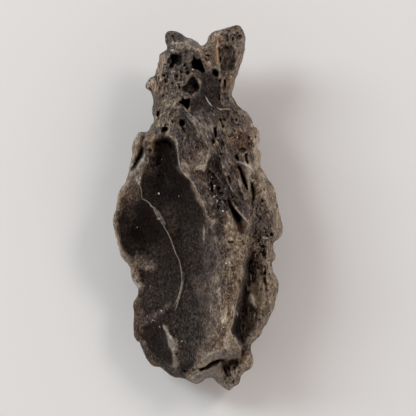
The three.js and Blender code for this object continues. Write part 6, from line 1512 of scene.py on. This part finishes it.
height = maths("ADD", noise(HAZE, 2), scaled(strands_and_highlights, 0.5, mottle))
height = scaled(pore, -0.5, maths("ADD", height, furrows))
frosting = add(tree, "ShaderNodeBump", Height=height, Strength=scaled(etched, 0.65, 0.35),
               Distance=BUMP_HEIGHT * MM)
tree.links.new(frosting.outputs["Normal"], bsdf.inputs["Normal"])

body.data.materials.clear()
body.data.materials.append(glass_mat)
body.data.shade_smooth()
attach(body, "root")
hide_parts("darwin_glass")

# ------------------------------------------------------------------------------------------
# The stage: a sheet of matt pale paper under the specimen, a camera looking straight down, and
# soft light from the left with a weaker one from the right. The room is darker overhead.

PAPER_HALF, VIEW_WIDTH = 0.6, 0.05678            # half the sheet, and what the view spans, m
CAMERA_HEIGHT, FOCUS_HEIGHT = 1.0, 0.009        # above the middle of the glass, m
VIEW_CENTRE = (0.00147, -0.00008)

corners = [(-1, -1, 0), (1, -1, 0), (1, 1, 0), (-1, 1, 0)]
paper = make_object("table", np.array(corners) * PAPER_HALF / MM, np.array([(0, 1, 2, 3)]))
matt_paper = bpy.data.materials.new("matt_paper")
matt_paper.use_nodes = True
sheet_finish = matt_paper.node_tree.nodes["Principled BSDF"]
sheet_finish.inputs["Base Color"].default_value = linear("#e6e5e4")
sheet_finish.inputs["Roughness"].default_value = 0.95
sheet_finish.inputs["Specular IOR Level"].default_value = 0.1
paper.data.materials.append(matt_paper)

lens = bpy.data.cameras.new("camera")
lens.sensor_width = 36
lens.lens = lens.sensor_width * CAMERA_HEIGHT / VIEW_WIDTH
camera = bpy.data.objects.new("camera", lens)
camera.location = (*VIEW_CENTRE, FOCUS_HEIGHT + CAMERA_HEIGHT)
bpy.context.collection.objects.link(camera)
bpy.context.scene.camera = camera


def soft_light(name, place, size, watts, code):
    """A round area light that shines on the specimen."""
    data = bpy.data.lights.new(name, "AREA")
    data.shape, data.size, data.energy = "DISK", size, watts
    data.color = linear(code)[:3]
    light = bpy.data.objects.new(name, data)
    light.location = place
    aim = Vector((0, 0, FOCUS_HEIGHT)) - Vector(place)
    light.rotation_euler = aim.to_track_quat("-Z", "Y").to_euler()
    bpy.context.collection.objects.link(light)


# name, place in m, width in m, power in W, colour
soft_light("window", (-0.5, 0.35, 0.51), 0.25, 1.8, "#f1fcff")
soft_light("far_window", (-0.6, 0.26, 0.33), 0.21, 1.25, "#f1fcff")
soft_light("lamp", (0.45, 0.39, 0.54), 0.24, 1.42, "#fff5f2")

room = bpy.data.worlds.new("room")
room.use_nodes = True
tree = room.node_tree
direction = add(tree, "ShaderNodeTexCoord").outputs["Generated"]
up = add(tree, "ShaderNodeSeparateXYZ", Vector=direction).outputs["Z"]
level = add(tree, "ShaderNodeMapRange", {"interpolation_type": "SMOOTHSTEP"}, Value=up,
            **{"From Min": 0.45, "From Max": 0.95, "To Min": 1.04, "To Max": 0.03}).outputs[0]
tree.nodes["Background"].inputs["Color"].default_value = linear("#fff7f4")
tree.links.new(level, tree.nodes["Background"].inputs["Strength"])
bpy.context.scene.world = room
bpy.context.scene.view_settings.view_transform = "Standard"
